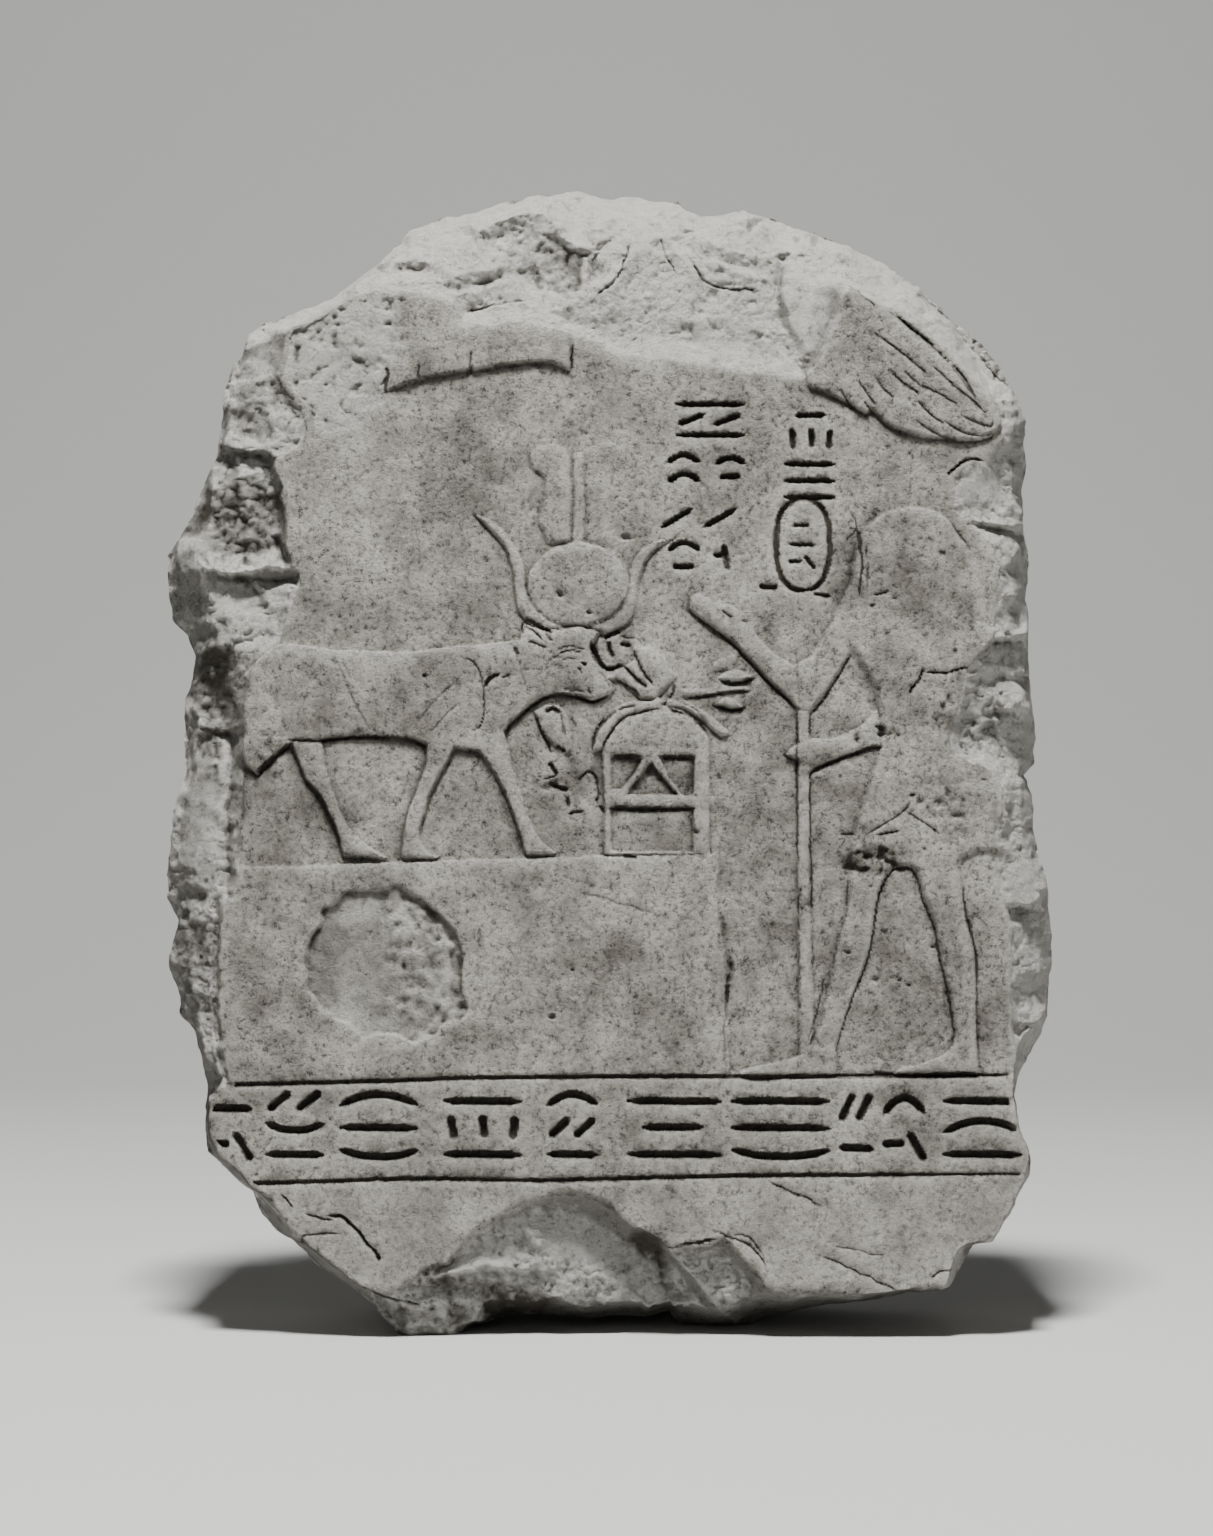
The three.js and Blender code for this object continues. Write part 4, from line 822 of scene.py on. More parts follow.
# Cracks and the edges of thin layers that have begun to lift.
CRACKS = [
    ([(-76, 31.3), (-69, 30)], 0.7, 0.5),
    ([(-70, 31), (-66, 30.3), (-62, 26), (-58, 21), (-57, 19.6)], 1.0, 0.8),
    ([(-78, 23.5), (-75, 26), (-67, 26.5)], 0.6, 0.4), ([(-82, 36.5), (-79, 33)], 0.7, 0.5),
    ([(-59, 11.7), (-54, 10), (-48, 8)], 0.8, 0.5),
    ([(27, 27), (33, 24.5), (36, 23), (40, 18)], 0.7, 0.5),
    ([(31, 26.6), (35.4, 25), (39, 20.8)], 0.6, 0.4),
    ([(15, 22.8), (20, 23.8), (27, 25.2)], 1.0, 0.8), ([(40, 39.7), (54, 33.3)], 0.8, 0.4),
    ([(53, 21), (63, 16.6), (73, 12)], 0.6, 0.4), ([(56, 23.5), (69, 21)], 0.5, 0.3),
    ([(81, 15), (83, 17), (87, 17.5)], 0.7, 0.5),
    ([(80, 167), (85, 167), (90, 167.8)], 0.7, 0.6),
    ([(75.5, 161.5), (77, 164), (79, 168)], 0.6, 0.5),
    ([(85, 216.5), (88, 219), (91, 220.5), (94, 220)], 0.9, 0.8),
    ([(13, 277), (15, 272), (17, 268)], 0.8, 0.7),
    ([(60, 264), (63, 262), (67, 258)], 0.8, 0.7),
    ([(-36, 257.5), (-28, 259.4), (-21, 260.5)], 0.7, 0.6),
    ([(20, 272), (24, 266), (31, 263.4), (38, 264)], 0.7, 0.5),
    ([(-3, 262), (1, 264.6), (4, 270), (5.6, 276)], 0.8, 0.7),
    ([(-55.5, 237), (-55.6, 243.6)], 1.0, 0.5), ([(-47.5, 240.6), (-47.4, 244)], 0.9, 0.4),
    ([(-34.5, 241.6), (-34.6, 247)], 0.7, 0.4), ([(-9.3, 242.6), (-9.2, 249)], 0.7, 0.5),
    ([(-31, 79), (-28, 87)], 0.7, 0.25), ([(-34, 80), (-32, 87)], 0.6, 0.2),
    ([(-8, 112), (0, 110), (14, 106)], 0.7, 0.25), ([(-12, 116), (2, 112)], 0.5, 0.2),
    ([(62.4, 186), (63.4, 194), (62.2, 203)], 0.7, 0.4), ([(65, 188), (64.4, 199)], 0.6, 0.3),
    ([(59, 199.6), (62, 203.4), (61, 207.6)], 0.6, 0.3),
    ([(-88, 45), (-84, 52), (-86, 61)], 0.5, 0.25),
    ([(29.4, 66), (29.2, 78), (30, 90)], 0.9, 0.4),
]
# Lines between the feathers of the right wing, and the lapped ends of the lowest ones.
FEATHERS = [
    [(58, 238), (59.3, 235.5), (62, 232.6)], [(62.5, 240), (64.2, 237.3), (67, 233.6)],
    [(67, 240.5), (68.8, 237.8), (71.5, 235.5)], [(70.5, 242), (74, 239), (78, 236.3)],
    [(74, 242.5), (77, 239.4), (83, 236.4), (88, 233.4)], [(81, 243.5), (86, 239), (91, 235),
    (94.4, 231.6)], [(64, 234.8), (66, 232)], [(77.3, 235), (80.5, 231.5), (84, 229)],
    [(77, 230), (80.5, 227.4), (84, 225.8), (87, 225.2)],
    [(84, 229.8), (88, 227.2), (92, 226.2), (95.5, 226.6), (98, 228)],
    [(88.4, 231), (92, 229.4), (95.5, 228.4), (96.6, 229.6)],
    [(66, 252), (70, 249.3), (76, 244.6), (80, 241.2)], [(71, 248.5), (77, 244)],
]
WING_EDGE = [(70.3, 257.6), (74, 254.6), (78, 251.3), (82.5, 247.5), (86, 243.8), (89, 240),
             (91.5, 236)]
RULED = [[(-112, 63.5), (-95, 63.7), (-62, 64.5), (-46, 65), (-30, 65.5), (10, 65.8), (40, 65.7),
          (75, 65.8), (112, 66)],
         [(-112, 38.8), (-90, 39), (-70, 39.6), (-50, 40.2), (-20, 39.8), (0, 40.2), (40, 41),
          (112, 41.4)]]


def cut_depth(points, width, depth, x, z, wobble=0.12):
    """Depth of one cut: flat-bottomed with soft sides, narrower at both ends."""
    line = smooth_run(points, 5)
    if len(line) < 8:
        line = along(line, 8)
    groove = np.zeros_like(x)
    close = near(line, x, z, width)
    px, pz = x[close], z[close]
    if not len(px):
        return groove
    zero = np.zeros_like(px)
    px = px + wobble * lumps(px, zero, pz, 2.2, 3)
    pz = pz + wobble * lumps(px, zero, pz, 2.2, 4)
    share = np.linspace(0, 1, len(line))
    full = np.clip(np.minimum(share, 1 - share) * 6 + 0.45, 0, 1)
    deepest = np.zeros_like(px)
    for (ax, az), (bx, bz), wa, wb in zip(line, line[1:], full, full[1:]):
        ex, ez = bx - ax, bz - az
        t = np.clip(((px - ax) * ex + (pz - az) * ez) / (ex * ex + ez * ez + 1e-12), 0, 1)
        half = 0.5 * width * (wa + t * (wb - wa))
        away = np.hypot(px - ax - t * ex, pz - az - t * ez) / half
        deepest = np.maximum(deepest, (wa + t * (wb - wa)) * np.clip(1 - away ** 4, 0, 1))
    groove[close] = depth * deepest
    return groove


# The writing is worn past reading, and stands as rows of plain strokes. A place in a row is
# filled from top to bottom: "-" a bar, "." a short bar, "n" a shallow bow, "u" a sagging
# bar, "/" two slants, "l" short uprights, "," a bar and a slant.
STROKE_FORMS = {
    "-": [[(0, 0.5), (1, 0.46)]],
    ".": [[(0.16, 0.5), (0.8, 0.52)]],
    "n": [[(0, 0.3), (0.24, 0.66), (0.5, 0.8), (0.76, 0.66), (1, 0.34)]],
    "u": [[(0, 0.7), (0.3, 0.42), (0.7, 0.4), (1, 0.66)]],
    "/": [[(0.04, 0.1), (0.4, 0.9)], [(0.56, 0.1), (0.94, 0.9)]],
    "l": [[(0.12, 0), (0.08, 1)], [(0.52, 0.1), (0.5, 1)], [(0.9, 0), (0.92, 0.94)]],
    ",": [[(0, 0.6), (0.46, 0.62)], [(0.62, 0.95), (1, 0.1)]],
}


def strokes_in(left, bottom, right, top, forms):
    """Plain strokes that fill one place of the writing, one form above the other."""
    strokes = []
    tall = (top - bottom) / len(forms)
    for k, form in enumerate(forms):
        base = top - tall * (k + 0.9)
        for stroke in STROKE_FORMS[form]:
            strokes.append([(left + a * (right - left), base + 0.8 * tall * b)
                            for a, b in stroke])
    return strokes


BAND_PLACES = [(-100, -89.5, "-,"), (-85.5, -71.5, "/u-"), (-67, -48, "n-u"), (-41, -22, "-l-"),
               (-15, -3, "n/-"), (5, 28, "-.-"), (31, 55, "--u"), (58, 66, "/-"),
               (69, 79, "n,"), (84, 103, "-n-")]
COLUMN_PLACES = [(17, 224.5, 34, 236, "-/-"), (15, 213, 22.6, 222.6, "nn"),
                 (27, 214, 34, 221.6, "n."), (12.5, 202, 33, 209, "/"),
                 (15, 191, 22.8, 200.6, "n."), (27, 191, 30, 200, ","),
                 (45, 222.4, 56.4, 234.2, ".l"), (44, 208.8, 56.5, 221.2, "---")]
WRITING = [(stroke, 2.3, 1.5) for left, right, forms in BAND_PLACES
           for stroke in strokes_in(left, 43, right, 63, forms)]
WRITING += [(stroke, 1.7, 1.3) for place in COLUMN_PLACES for stroke in strokes_in(*place)]
# The oval ring at the foot of the second column, with plain strokes inside.
RING = [(48.7 + 6.7 * math.copysign(abs(math.cos(a)) ** 0.8, math.cos(a)),
         198.8 + 11.3 * math.copysign(abs(math.sin(a)) ** 0.8, math.sin(a)))
        for a in np.linspace(0.5 * math.pi, 2.5 * math.pi, 33)]
WRITING += [(RING[:18], 1.7, 1.0), (RING[16:], 1.6, 0.9)]
WRITING += [(stroke, 1.3, 0.8) for stroke in strokes_in(45.2, 192, 51.6, 206, ".-,")]
WRITING += [([(38, 188.4), (42, 188.2)], 1.8, 1.0), ([(51.3, 186.6), (55.6, 186)], 1.1, 0.8)]


def cracked(x, z):
    """Depth of the cracks."""
    depth = np.zeros_like(x)
    for points, width, deep in CRACKS:
        depth = np.maximum(depth, cut_depth(points, width, deep, x, z, 0.5))
    return depth


def all_cuts(x, z):
    """Depth of every cut line and stroke."""
    cuts = np.zeros_like(x)
    lines = LINES + WRITING
    lines += [(line, 0.75, 0.4) for line in FEATHERS] + [(WING_EDGE, 1.6, 0.9)]
    lines += [(line, 1.5, 0.75) for line in RULED]
    for points, width, depth in lines:
        cuts = np.maximum(cuts, cut_depth(points, width, depth, x, z))
    return cuts


# ---- Wear on the face ----
# The face is rubbed and pitted, its ground keeps the waver of the chisel, and places where the skin
# of the stone has scaled off are lower and rough. Damp has left dark stains on the face, and darker
# patches painted into the hollows and undercuts of the break stand for shade.
def scaled_patch(x, z):
    """The patch on the cow's block where the skin has come away."""
    patch = [[(-77, 95), (-72, 106), (-65, 111.5), (-50, 112.5), (-42, 106), (-37, 100),
              (-36, 88), (-35, 81), (-40, 78.3), (-48, 74.5), (-52, 76.3), (-62, 76.5),
              (-69, 80.5), (-75.5, 88)]]
    zero = np.zeros_like(x)
    bent_x = x + 1.2 * lumps(x, zero, z, 4, 8)
    bent_z = z + 1.2 * lumps(x, zero, z, 4, 9)
    inside = inside_by(patch, bent_x, bent_z)[0]
    return ease((inside + 0.3) / 1.0)


# Small pits: X, height, radius and depth.
PITS = [(67, 90, 0.9, 0.6), (73, 90, 0.6, 0.5), (73, 86, 0.5, 0.4), (60, 96.5, 0.7, 0.5),
        (44.5, 79.5, 0.6, 0.4), (70, 85, 0.5, 0.4), (-12.3, 186.5, 1.0, 0.3),
        (-5, 182, 0.5, 0.3), (3.2, 228, 0.9, 0.4), (4, 232, 0.6, 0.3), (-14, 80.8, 0.8, 0.4),
        (-9, 92.4, 0.5, 0.3), (64.3, 208, 0.8, 0.5), (68.3, 151.5, 0.9, 0.6),
        (4.6, 200.6, 1.1, 0.4), (22, 127, 0.6, 0.3), (-46, 166, 0.5, 0.3), (81, 98, 0.5, 0.3)]
# Crumbled places: X, height, half width, half height and depth.
CRUMBLED = [(66, 119.6, 6.5, 3.6, 1.1), (30.4, 90.5, 1.7, 5, 0.7), (49.3, 109.6, 1.6, 4.4, 0.8),
             (27, 139, 1.6, 2.4, 0.5), (-15, 139.6, 3.4, 2, 0.6), (68, 152.4, 1.6, 1.6, 0.6),
             (66.4, 205.6, 3, 2.4, 0.5), (-7, 134, 5, 4, 0.35), (12.6, 142, 4, 3, 0.3),
             (86, 132, 7, 9, 0.5), (84, 156, 5, 9, 0.5), (4.6, 200.6, 2, 1.6, 0.5),
             (-86, 150, 5, 12, 0.35), (-92, 120, 3, 14, 0.3)]
# Dark patches: stains left by damp on the face, and painted shade in the hollows and undercuts of the
# broken crown, the left chip, the right side and the scoop at the foot. X, height, half width, half
# height and strength.
STAINS_AND_SHADE = [(-38, 214, 9, 14, 0.3), (-60, 182, 16, 7, 0.3), (-34, 184, 9, 8, 0.3),
          (-70, 132, 7, 9, 0.35), (-34, 132, 6, 9, 0.2), (-13, 132, 7, 10, 0.35),
          (28.5, 94, 2.6, 12, 0.6), (26, 116, 5, 8, 0.35), (18, 84, 9, 9, 0.3), (2, 96, 9, 6, 0.2),
          (66, 119.6, 6, 4.4, 0.75), (88, 96, 5, 18, 0.25), (62, 192, 4, 10, 0.4),
          (-71, 95, 7, 15, 0.6), (-45, 80, 9, 5, 0.35), (-56, 93, 16, 15, 0.42),
          (49.3, 110, 2, 6, 0.4), (75, 82, 9, 10, 0.25), (40, 128, 5, 22, 0.15),
          (-98, 58, 5, 4, 0.3), (-86, 132, 5, 16, 0.3), (14, 141, 8, 5, 0.35), (10, 127, 9, 4, 0.3),
          (58, 196, 3, 9, 0.3), (26, 216, 9, 10, 0.15), (-45, 160, 12, 6, 0.12),
          (-93, 205, 10, 14, 0.5), (-14, 268, 10, 8, 0.35), (-100, 160, 6, 18, 0.35),
          (90, 156, 8, 12, 0.35), (100, 172, 6, 5, 0.35), (-104, 96, 5, 14, 0.25),
          (-32, 8, 18, 6, 0.4), (10, 18, 6, 12, 0.35), (-33, 264, 8, 3, 0.3),
          (-52, 268, 7, 3, 0.25), (26, 270, 4, 3, 0.2)]
# The ground left pale above the cow's rump, in the same terms, and where the plain pale foot
# of the face begins.
PALE = [(-64, 222, 16, 20, 0.7)]
PALE_FOOT = 38


def spots(places, x, z, seed):
    """How strongly each place is within the nearest of some ragged spots."""
    zero = np.zeros_like(x)
    ragged = 0.45 * rough(x, zero, z, 4, seed, 3)
    strength = np.zeros_like(x)
    for px, pz, wide, tall, strong in places:
        away = np.hypot((x - px) / wide, (z - pz) / tall) + ragged
        strength = np.maximum(strength, strong * ease((1.25 - away) * 1.6))
    return strength


def wear(x, z):
    """Depth of pits and scaled places, how broken the surface is there, and the scaled patch."""
    zero = np.zeros_like(x)
    scar = scaled_patch(x, z)
    broken = scar.copy()
    crumbled = ease((x + 60 + 8 * lumps(x, zero, z, 14, 29)) / 6)
    depth = scar * (0.4 + 0.16 * rough(x, zero, z, 6, 21, 2)
                    + (0.1 + 0.32 * crumbled) * rough(x, zero, z, 1.7, 22, 2)
                    + crumbled * 0.7 * np.clip(rough(x, zero, z, 2.4, 28, 2) - 0.3, 0, 1))
    for px, pz, radius, deep in PITS:
        close = (np.abs(x - px) < radius * 1.8) & (np.abs(z - pz) < radius * 1.8)
        cx, cz = x[close], z[close]
        away = np.hypot(cx - px, (cz - pz) * 1.1) / radius
        away = away + 0.6 * rough(cx, zero[close], cz, max(radius, 1.2), int(px * 3) % 90)
        hollow = ease(1.3 - away)
        depth[close] = np.maximum(depth[close], deep * hollow)
        broken[close] = np.maximum(broken[close], hollow)
    crumbled = spots(CRUMBLED, x, z, 96)
    depth += crumbled * np.clip(0.2 + 1.1 * rough(x, zero, z, 1.7, 97, 2), 0, 1.2)
    # the rough pitted stone at the left shoulder, and crumbled edges all round the face
    shoulder = ease((inside_by([[(-96, 225), (-82, 226), (-70, 228), (-60, 232), (-55, 240),
                                 (-52, 256), (-60, 266), (-96, 266)]], x, z, 6)[0] + 3) / 5)
    crumbs = np.clip(rough(x, zero, z, 1.9, 41, 2) - 0.3, 0, 1)
    rows = np.clip(rough(x, zero, z * 2.4, 4, 43, 2) - 0.2, 0, 1)
    depth += shoulder * (0.25 + 1.1 * crumbs + 0.4 * rows + 0.3 * rough(x, zero, z, 9, 44, 3))
    broken = np.maximum(broken, shoulder * 0.9)
    return depth, broken, scar


def waver(x, z):
    """The slight unevenness of a surface dressed and rubbed by hand, coarser where worn."""
    zero = np.zeros_like(x)
    worn_man = ease(1.6 - np.hypot((x - 76) / 24, (z - 152) / 66))
    worn_foot = ease(1.5 - np.hypot((x - 40) / 26, (z - 92) / 26))
    worn = np.maximum(worn_man, 0.5 * worn_foot)
    pocks = np.clip(rough(x, zero, z, 1.9, 55, 2) - 0.62, 0, 1)
    streaks = rough(x * 0.3, zero, z, 1.5, 57, 2)
    return ((0.16 + 0.3 * worn) * lumps(x, zero, z, 15, 51)
            + (0.07 + 0.2 * worn) * rough(x, zero, z, 6, 52, 2)
            + (0.05 + 0.03 * worn) * lumps(x, zero, z, 2, 53) + 0.035 * streaks
            + (0.5 + 0.5 * worn) * pocks)


def blurred(net, reach):
    """A net of values smoothed over a few of its squares."""
    for axis in (0, 1, 0, 1):
        padded = np.concatenate([np.repeat(net.take([0], axis), reach, axis), net,
                                 np.repeat(net.take([-1], axis), reach + 1, axis)], axis)
        total = np.cumsum(padded, axis)
        span = net.shape[axis]
        net = (total.take(range(2 * reach + 1, 2 * reach + 1 + span), axis)
               - total.take(range(span), axis)) / (2 * reach + 1)
    return net


def front_skin(x, z, shape):
    """Where the front lies, its stains and painted shade, below 0 where pale or highlit, and how
    broken.
    """
    rise, crease = relief(x, z)
    worn, broken, scar = wear(x, z)
    cuts = all_cuts(x, z)
    inside = face_inside(x, z)
    on_face = ease((inside + 0.2) / 0.7)
    kept = 1 - 0.85 * broken
    cracks = cracked(x, z)
    depth = (broken_surface(x, z, inside) + on_face * (worn + waver(x, z) + cuts) + cracks
             - rise * kept * ease((inside + 4) / 4))
    net = depth.reshape(shape)
    # The colour is darkened as painted shade in the chisel creases, in the cuts and in small and
    # broad hollows (recess, wide). It is also darker along the cracks and in the patches of the stain
    # list. Places raised above their surroundings are lightened, partly as rubbed wear and partly as
    # painted highlight.
    recess = (net - blurred(net, 2)).ravel() * (1 + 0.4 * on_face)
    wide = np.clip((net - blurred(net, 8)).ravel(), 0, 0.5) * on_face
    dirt = on_face * kept * np.clip(0.25 * crease + 0.75 * ease(cuts / 0.6), 0, 1)
    dirt = np.clip(dirt + 0.9 * np.clip(recess - 0.03, 0, 0.7) + 0.25 * wide, 0, 1)
    dirt += 0.6 * ease(cracks / 0.5) + spots(STAINS_AND_SHADE, x, z, 98)
    pale = ease((PALE_FOOT - z) / 3) + spots(PALE, x, z, 99)
    dirt -= np.clip(-recess, 0, 0.4) + 0.22 * on_face * pale
    broken = np.maximum(broken * on_face * (1 - 0.5 * scar), ease(-inside / 1.2))
    return GROUND + depth, dirt, broken


# ---- The mesh ----
# The front, the broken sides and the back are one closed skin of small squares, which is
# then thinned where the stone is smooth.
def patch(bottom, top, left, right):
    """A net of points between four edges."""
    u = np.linspace(0, 1, len(bottom))[:, None, None]
    v = np.linspace(0, 1, len(left))[None, :, None]
    across = (1 - v) * bottom[:, None] + v * top[:, None]
    up = (1 - u) * left[None] + u * right[None]
    corners = ((1 - u) * (1 - v) * bottom[0] + u * (1 - v) * bottom[-1]
               + (1 - u) * v * top[0] + u * v * top[-1])
    return across + up - corners


# The front's squares are 0.43 mm wide. The sides and back are four times coarser.
FINE = 0.43
SIDE_STEP = 4
WIDTH = 225
columns = SIDE_STEP * round(WIDTH / FINE / SIDE_STEP)
rows = SIDE_STEP * round(HEIGHT / FINE / SIDE_STEP)
edges = [along(side, count) for side, count in
         ((BOTTOM_SIDE, columns), (TOP_SIDE, columns), (LEFT_SIDE, rows), (RIGHT_SIDE, rows))]
for edge in edges:
    zero = np.zeros(len(edge))
    direction = np.arctan2(edge[:, 1] - MIDDLE, edge[:, 0])
    nick = 0.55 * rough(edge[:, 0], zero, edge[:, 1], 5, 61, 4)
    nick *= ease((edge[:, 1] - 1) / 4)
    edge[:, 0] += nick * np.cos(direction)
    edge[:, 1] += nick * np.sin(direction)
net = patch(*[edge[:, :2] for edge in edges])
x_net, z_net = net[..., 0].ravel(), net[..., 1].ravel()
front_y, front_stain_shade_sheen, front_broken = front_skin(x_net, z_net, (columns + 1, rows + 1))
front = np.stack([x_net, front_y, z_net], axis=1).reshape(columns + 1, rows + 1, 3)


def rim(net):
    """The points round a net's edge, anticlockwise from its lower left corner."""
    return np.vstack([net[:-1, 0], net[-1, :-1], net[:0:-1, -1], net[0, :0:-1]])


loop = rim(front)
outline = loop[::SIDE_STEP]
ahead = np.roll(outline, -1, axis=0) - np.roll(outline, 1, axis=0)
outward = np.stack([ahead[:, 2], -ahead[:, 0]], axis=1)
outward /= np.linalg.norm(outward, axis=1)[:, None] + 1e-9
for _ in range(15):
    outward = (outward + np.roll(outward, 1, axis=0) + np.roll(outward, -1, axis=0)) / 3
outward /= np.linalg.norm(outward, axis=1)[:, None] + 1e-9
girth = np.cumsum(np.hypot(*(outline - np.roll(outline, 1, axis=0))[:, [0, 2]].T))
BACK_EDGE = 6
SIDE_WIDTH = 50
side_rings = round(SIDE_WIDTH / (SIDE_STEP * FINE))
rings = []
for k in range(1, side_rings + 1):
    share = k / side_rings
    y = outline[:, 1] + share * (BACK - 0.6 - outline[:, 1])
    turn = np.clip((y - (BACK - 5)) / 4.4, 0, 1)
    taper = 1.2 * share + BACK_EDGE * (1 - np.sqrt(np.clip(1 - turn ** 2, 0, 1))) * 0.8
    shaped = ease(share * 6)
    hollow = 2.2 * (flakes(girth, y, 19, 71) + 0.3) + 0.8 * flakes(girth, y, 7, 73)
    grit = 0.35 * rough(outline[:, 0], y, outline[:, 2], 4, 75, 3)
    inward = taper + shaped * (np.clip(hollow, -0.6, 4) + grit)
    inward *= np.where(outline[:, 2] < 6, 0.25, 1)
    ring = np.stack([outline[:, 0] - inward * outward[:, 0], y,
                     outline[:, 2] - inward * outward[:, 1]], axis=1)
    rings.append(ring)
coarse_columns, coarse_rows = columns // SIDE_STEP, rows // SIDE_STEP
last = rings[-1]
a, b = coarse_columns, coarse_columns + coarse_rows
c = b + coarse_columns
back_net = patch(last[:a + 1], last[b:c + 1][::-1], np.vstack([last[c:], last[:1]])[::-1],
                 last[a:b + 1])


def dressing(x, z):
    """Slanting marks of the point chisel that flattened the back."""
    zero = np.zeros_like(x)
    slant = 0.8 * x + 0.6 * z + 5 * lumps(x, zero, z, 40, 81)
    cross = -0.6 * x + 0.8 * z
    stroke = np.abs(np.sin(slant * math.pi / 7.5 + 2 * lumps(cross, zero, slant, 18, 82)))
    return (0.9 + 0.55 * (1 - stroke) ** 2 + 0.5 * lumps(x, zero, z, 30, 83)
            + 0.3 * rough(x, zero, z, 6, 84, 3))


x_back, z_back = back_net[..., 0], back_net[..., 2]
reach = np.minimum.reduce([np.arange(coarse_columns + 1)[:, None] + 0 * x_back,
                           np.arange(coarse_columns, -1, -1)[:, None] + 0 * x_back,
                           np.arange(coarse_rows + 1)[None] + 0 * x_back,
                           np.arange(coarse_rows, -1, -1)[None] + 0 * x_back])
settle = ease(reach / 6)
back_net[..., 1] = (1 - settle) * back_net[..., 1] + settle * (BACK - dressing(x_back, z_back))

# Points and faces: front net, side rings, inner part of the back net.
points = [front.reshape(-1, 3)] + rings + [back_net[1:-1, 1:-1].reshape(-1, 3)]
starts = np.cumsum([0] + [len(block) for block in points])
points = np.vstack(points)
points[:, 2] = np.maximum(points[:, 2], 0)
dirt = np.zeros(len(points))
dirt[:len(front_stain_shade_sheen)] = front_stain_shade_sheen
broken = np.ones(len(points))
broken[:len(front_broken)] = front_broken
broken[starts[-2]:] = 0.35
front_index = np.arange((columns + 1) * (rows + 1)).reshape(columns + 1, rows + 1)
quads = [np.stack([front_index[:-1, :-1], front_index[1:, :-1], front_index[1:, 1:],
                   front_index[:-1, 1:]], axis=-1).reshape(-1, 4)]
loop_index = rim(front_index[..., None]).ravel()
ring_index = [starts[k + 1] + np.arange(len(outline)) for k in range(side_rings)]
fine = [np.roll(loop_index, -k)[::SIDE_STEP] for k in range(SIDE_STEP + 1)]
first, first_next = ring_index[0], np.roll(ring_index[0], -1)
half = SIDE_STEP // 2
triangles = [np.stack([fine[k], first if k < half else first_next, fine[k + 1]], axis=1)
             for k in range(SIDE_STEP)]
triangles.append(np.stack([fine[half], first, first_next], axis=1))
for here, there in zip(ring_index, ring_index[1:]):
    quads.append(np.stack([here, there, np.roll(there, -1), np.roll(here, -1)], axis=1))
back_index = np.zeros((coarse_columns + 1, coarse_rows + 1), int)
back_index[1:-1, 1:-1] = (starts[-2] + np.arange((coarse_columns - 1) * (coarse_rows - 1))
                          ).reshape(coarse_columns - 1, coarse_rows - 1)
last_index = ring_index[-1]
back_index[:, 0] = last_index[:a + 1]
back_index[-1, :] = last_index[a:b + 1]
back_index[:, -1] = last_index[b:c + 1][::-1]
back_index[0, :] = np.append(last_index[c:], last_index[0])[::-1]
quads.append(np.stack([back_index[:-1, :-1], back_index[:-1, 1:], back_index[1:, 1:],
                       back_index[1:, :-1]], axis=-1).reshape(-1, 4))
quads = np.vstack(quads)
triangles = np.vstack(triangles)
corners = np.concatenate([quads.ravel(), triangles.ravel()])
sizes = np.concatenate([np.full(len(quads), 4), np.full(len(triangles), 3)])

skin = bpy.data.meshes.new("stele_skin")
skin.vertices.add(len(points))
skin.vertices.foreach_set("co", (points * MM).ravel())
skin.loops.add(len(corners))
skin.loops.foreach_set("vertex_index", corners)
skin.polygons.add(len(sizes))
skin.polygons.foreach_set("loop_start", np.concatenate([[0], np.cumsum(sizes)[:-1]]))
skin.update(calc_edges=True)
skin.validate()
for name, values in (("dirt", dirt), ("broken", broken)):
    layer = skin.attributes.new(name, "FLOAT", "POINT")
    layer.data.foreach_set("value", values.astype(np.float32))
stone = bpy.data.objects.new("stele_stone", skin)
bpy.context.scene.collection.objects.link(stone)

TRIANGLES = 196000
whole = 2 * len(quads) + len(triangles)
if whole > TRIANGLES:
    thin = stone.modifiers.new("thin", "DECIMATE")
    thin.ratio = TRIANGLES / whole
    bpy.context.view_layer.update()
    thinned = bpy.data.meshes.new_from_object(
        stone.evaluated_get(bpy.context.evaluated_depsgraph_get()))
    stone.modifiers.clear()
    stone.data = thinned
mesh = stone.data
mesh.shade_smooth()
mesh.set_sharp_from_angle(angle=math.radians(50))


# ---- Limestone ----
# Fine pale limestone, rubbed smooth on the face and left as it broke elsewhere. The eye sees a dull,
# slightly warm stone with soft grey patches and small dark pores; grey painted shade lies in the
# cuts, creases and hollows, and raised places are painted lighter, partly as rubbed wear and partly
# as highlight.
def linear(code):
    """An sRGB hex colour as linear red, green, blue and alpha."""
    parts = [int(code[i:i + 2], 16) / 255 for i in (1, 3, 5)]
    return [c / 12.92 if c <= 0.04045 else ((c + 0.055) / 1.055) ** 2.4 for c in parts] + [1.0]


limestone = bpy.data.materials.new("fine limestone, hand dressed and broken")
limestone.use_nodes = True
tree = limestone.node_tree
tree.nodes.clear()


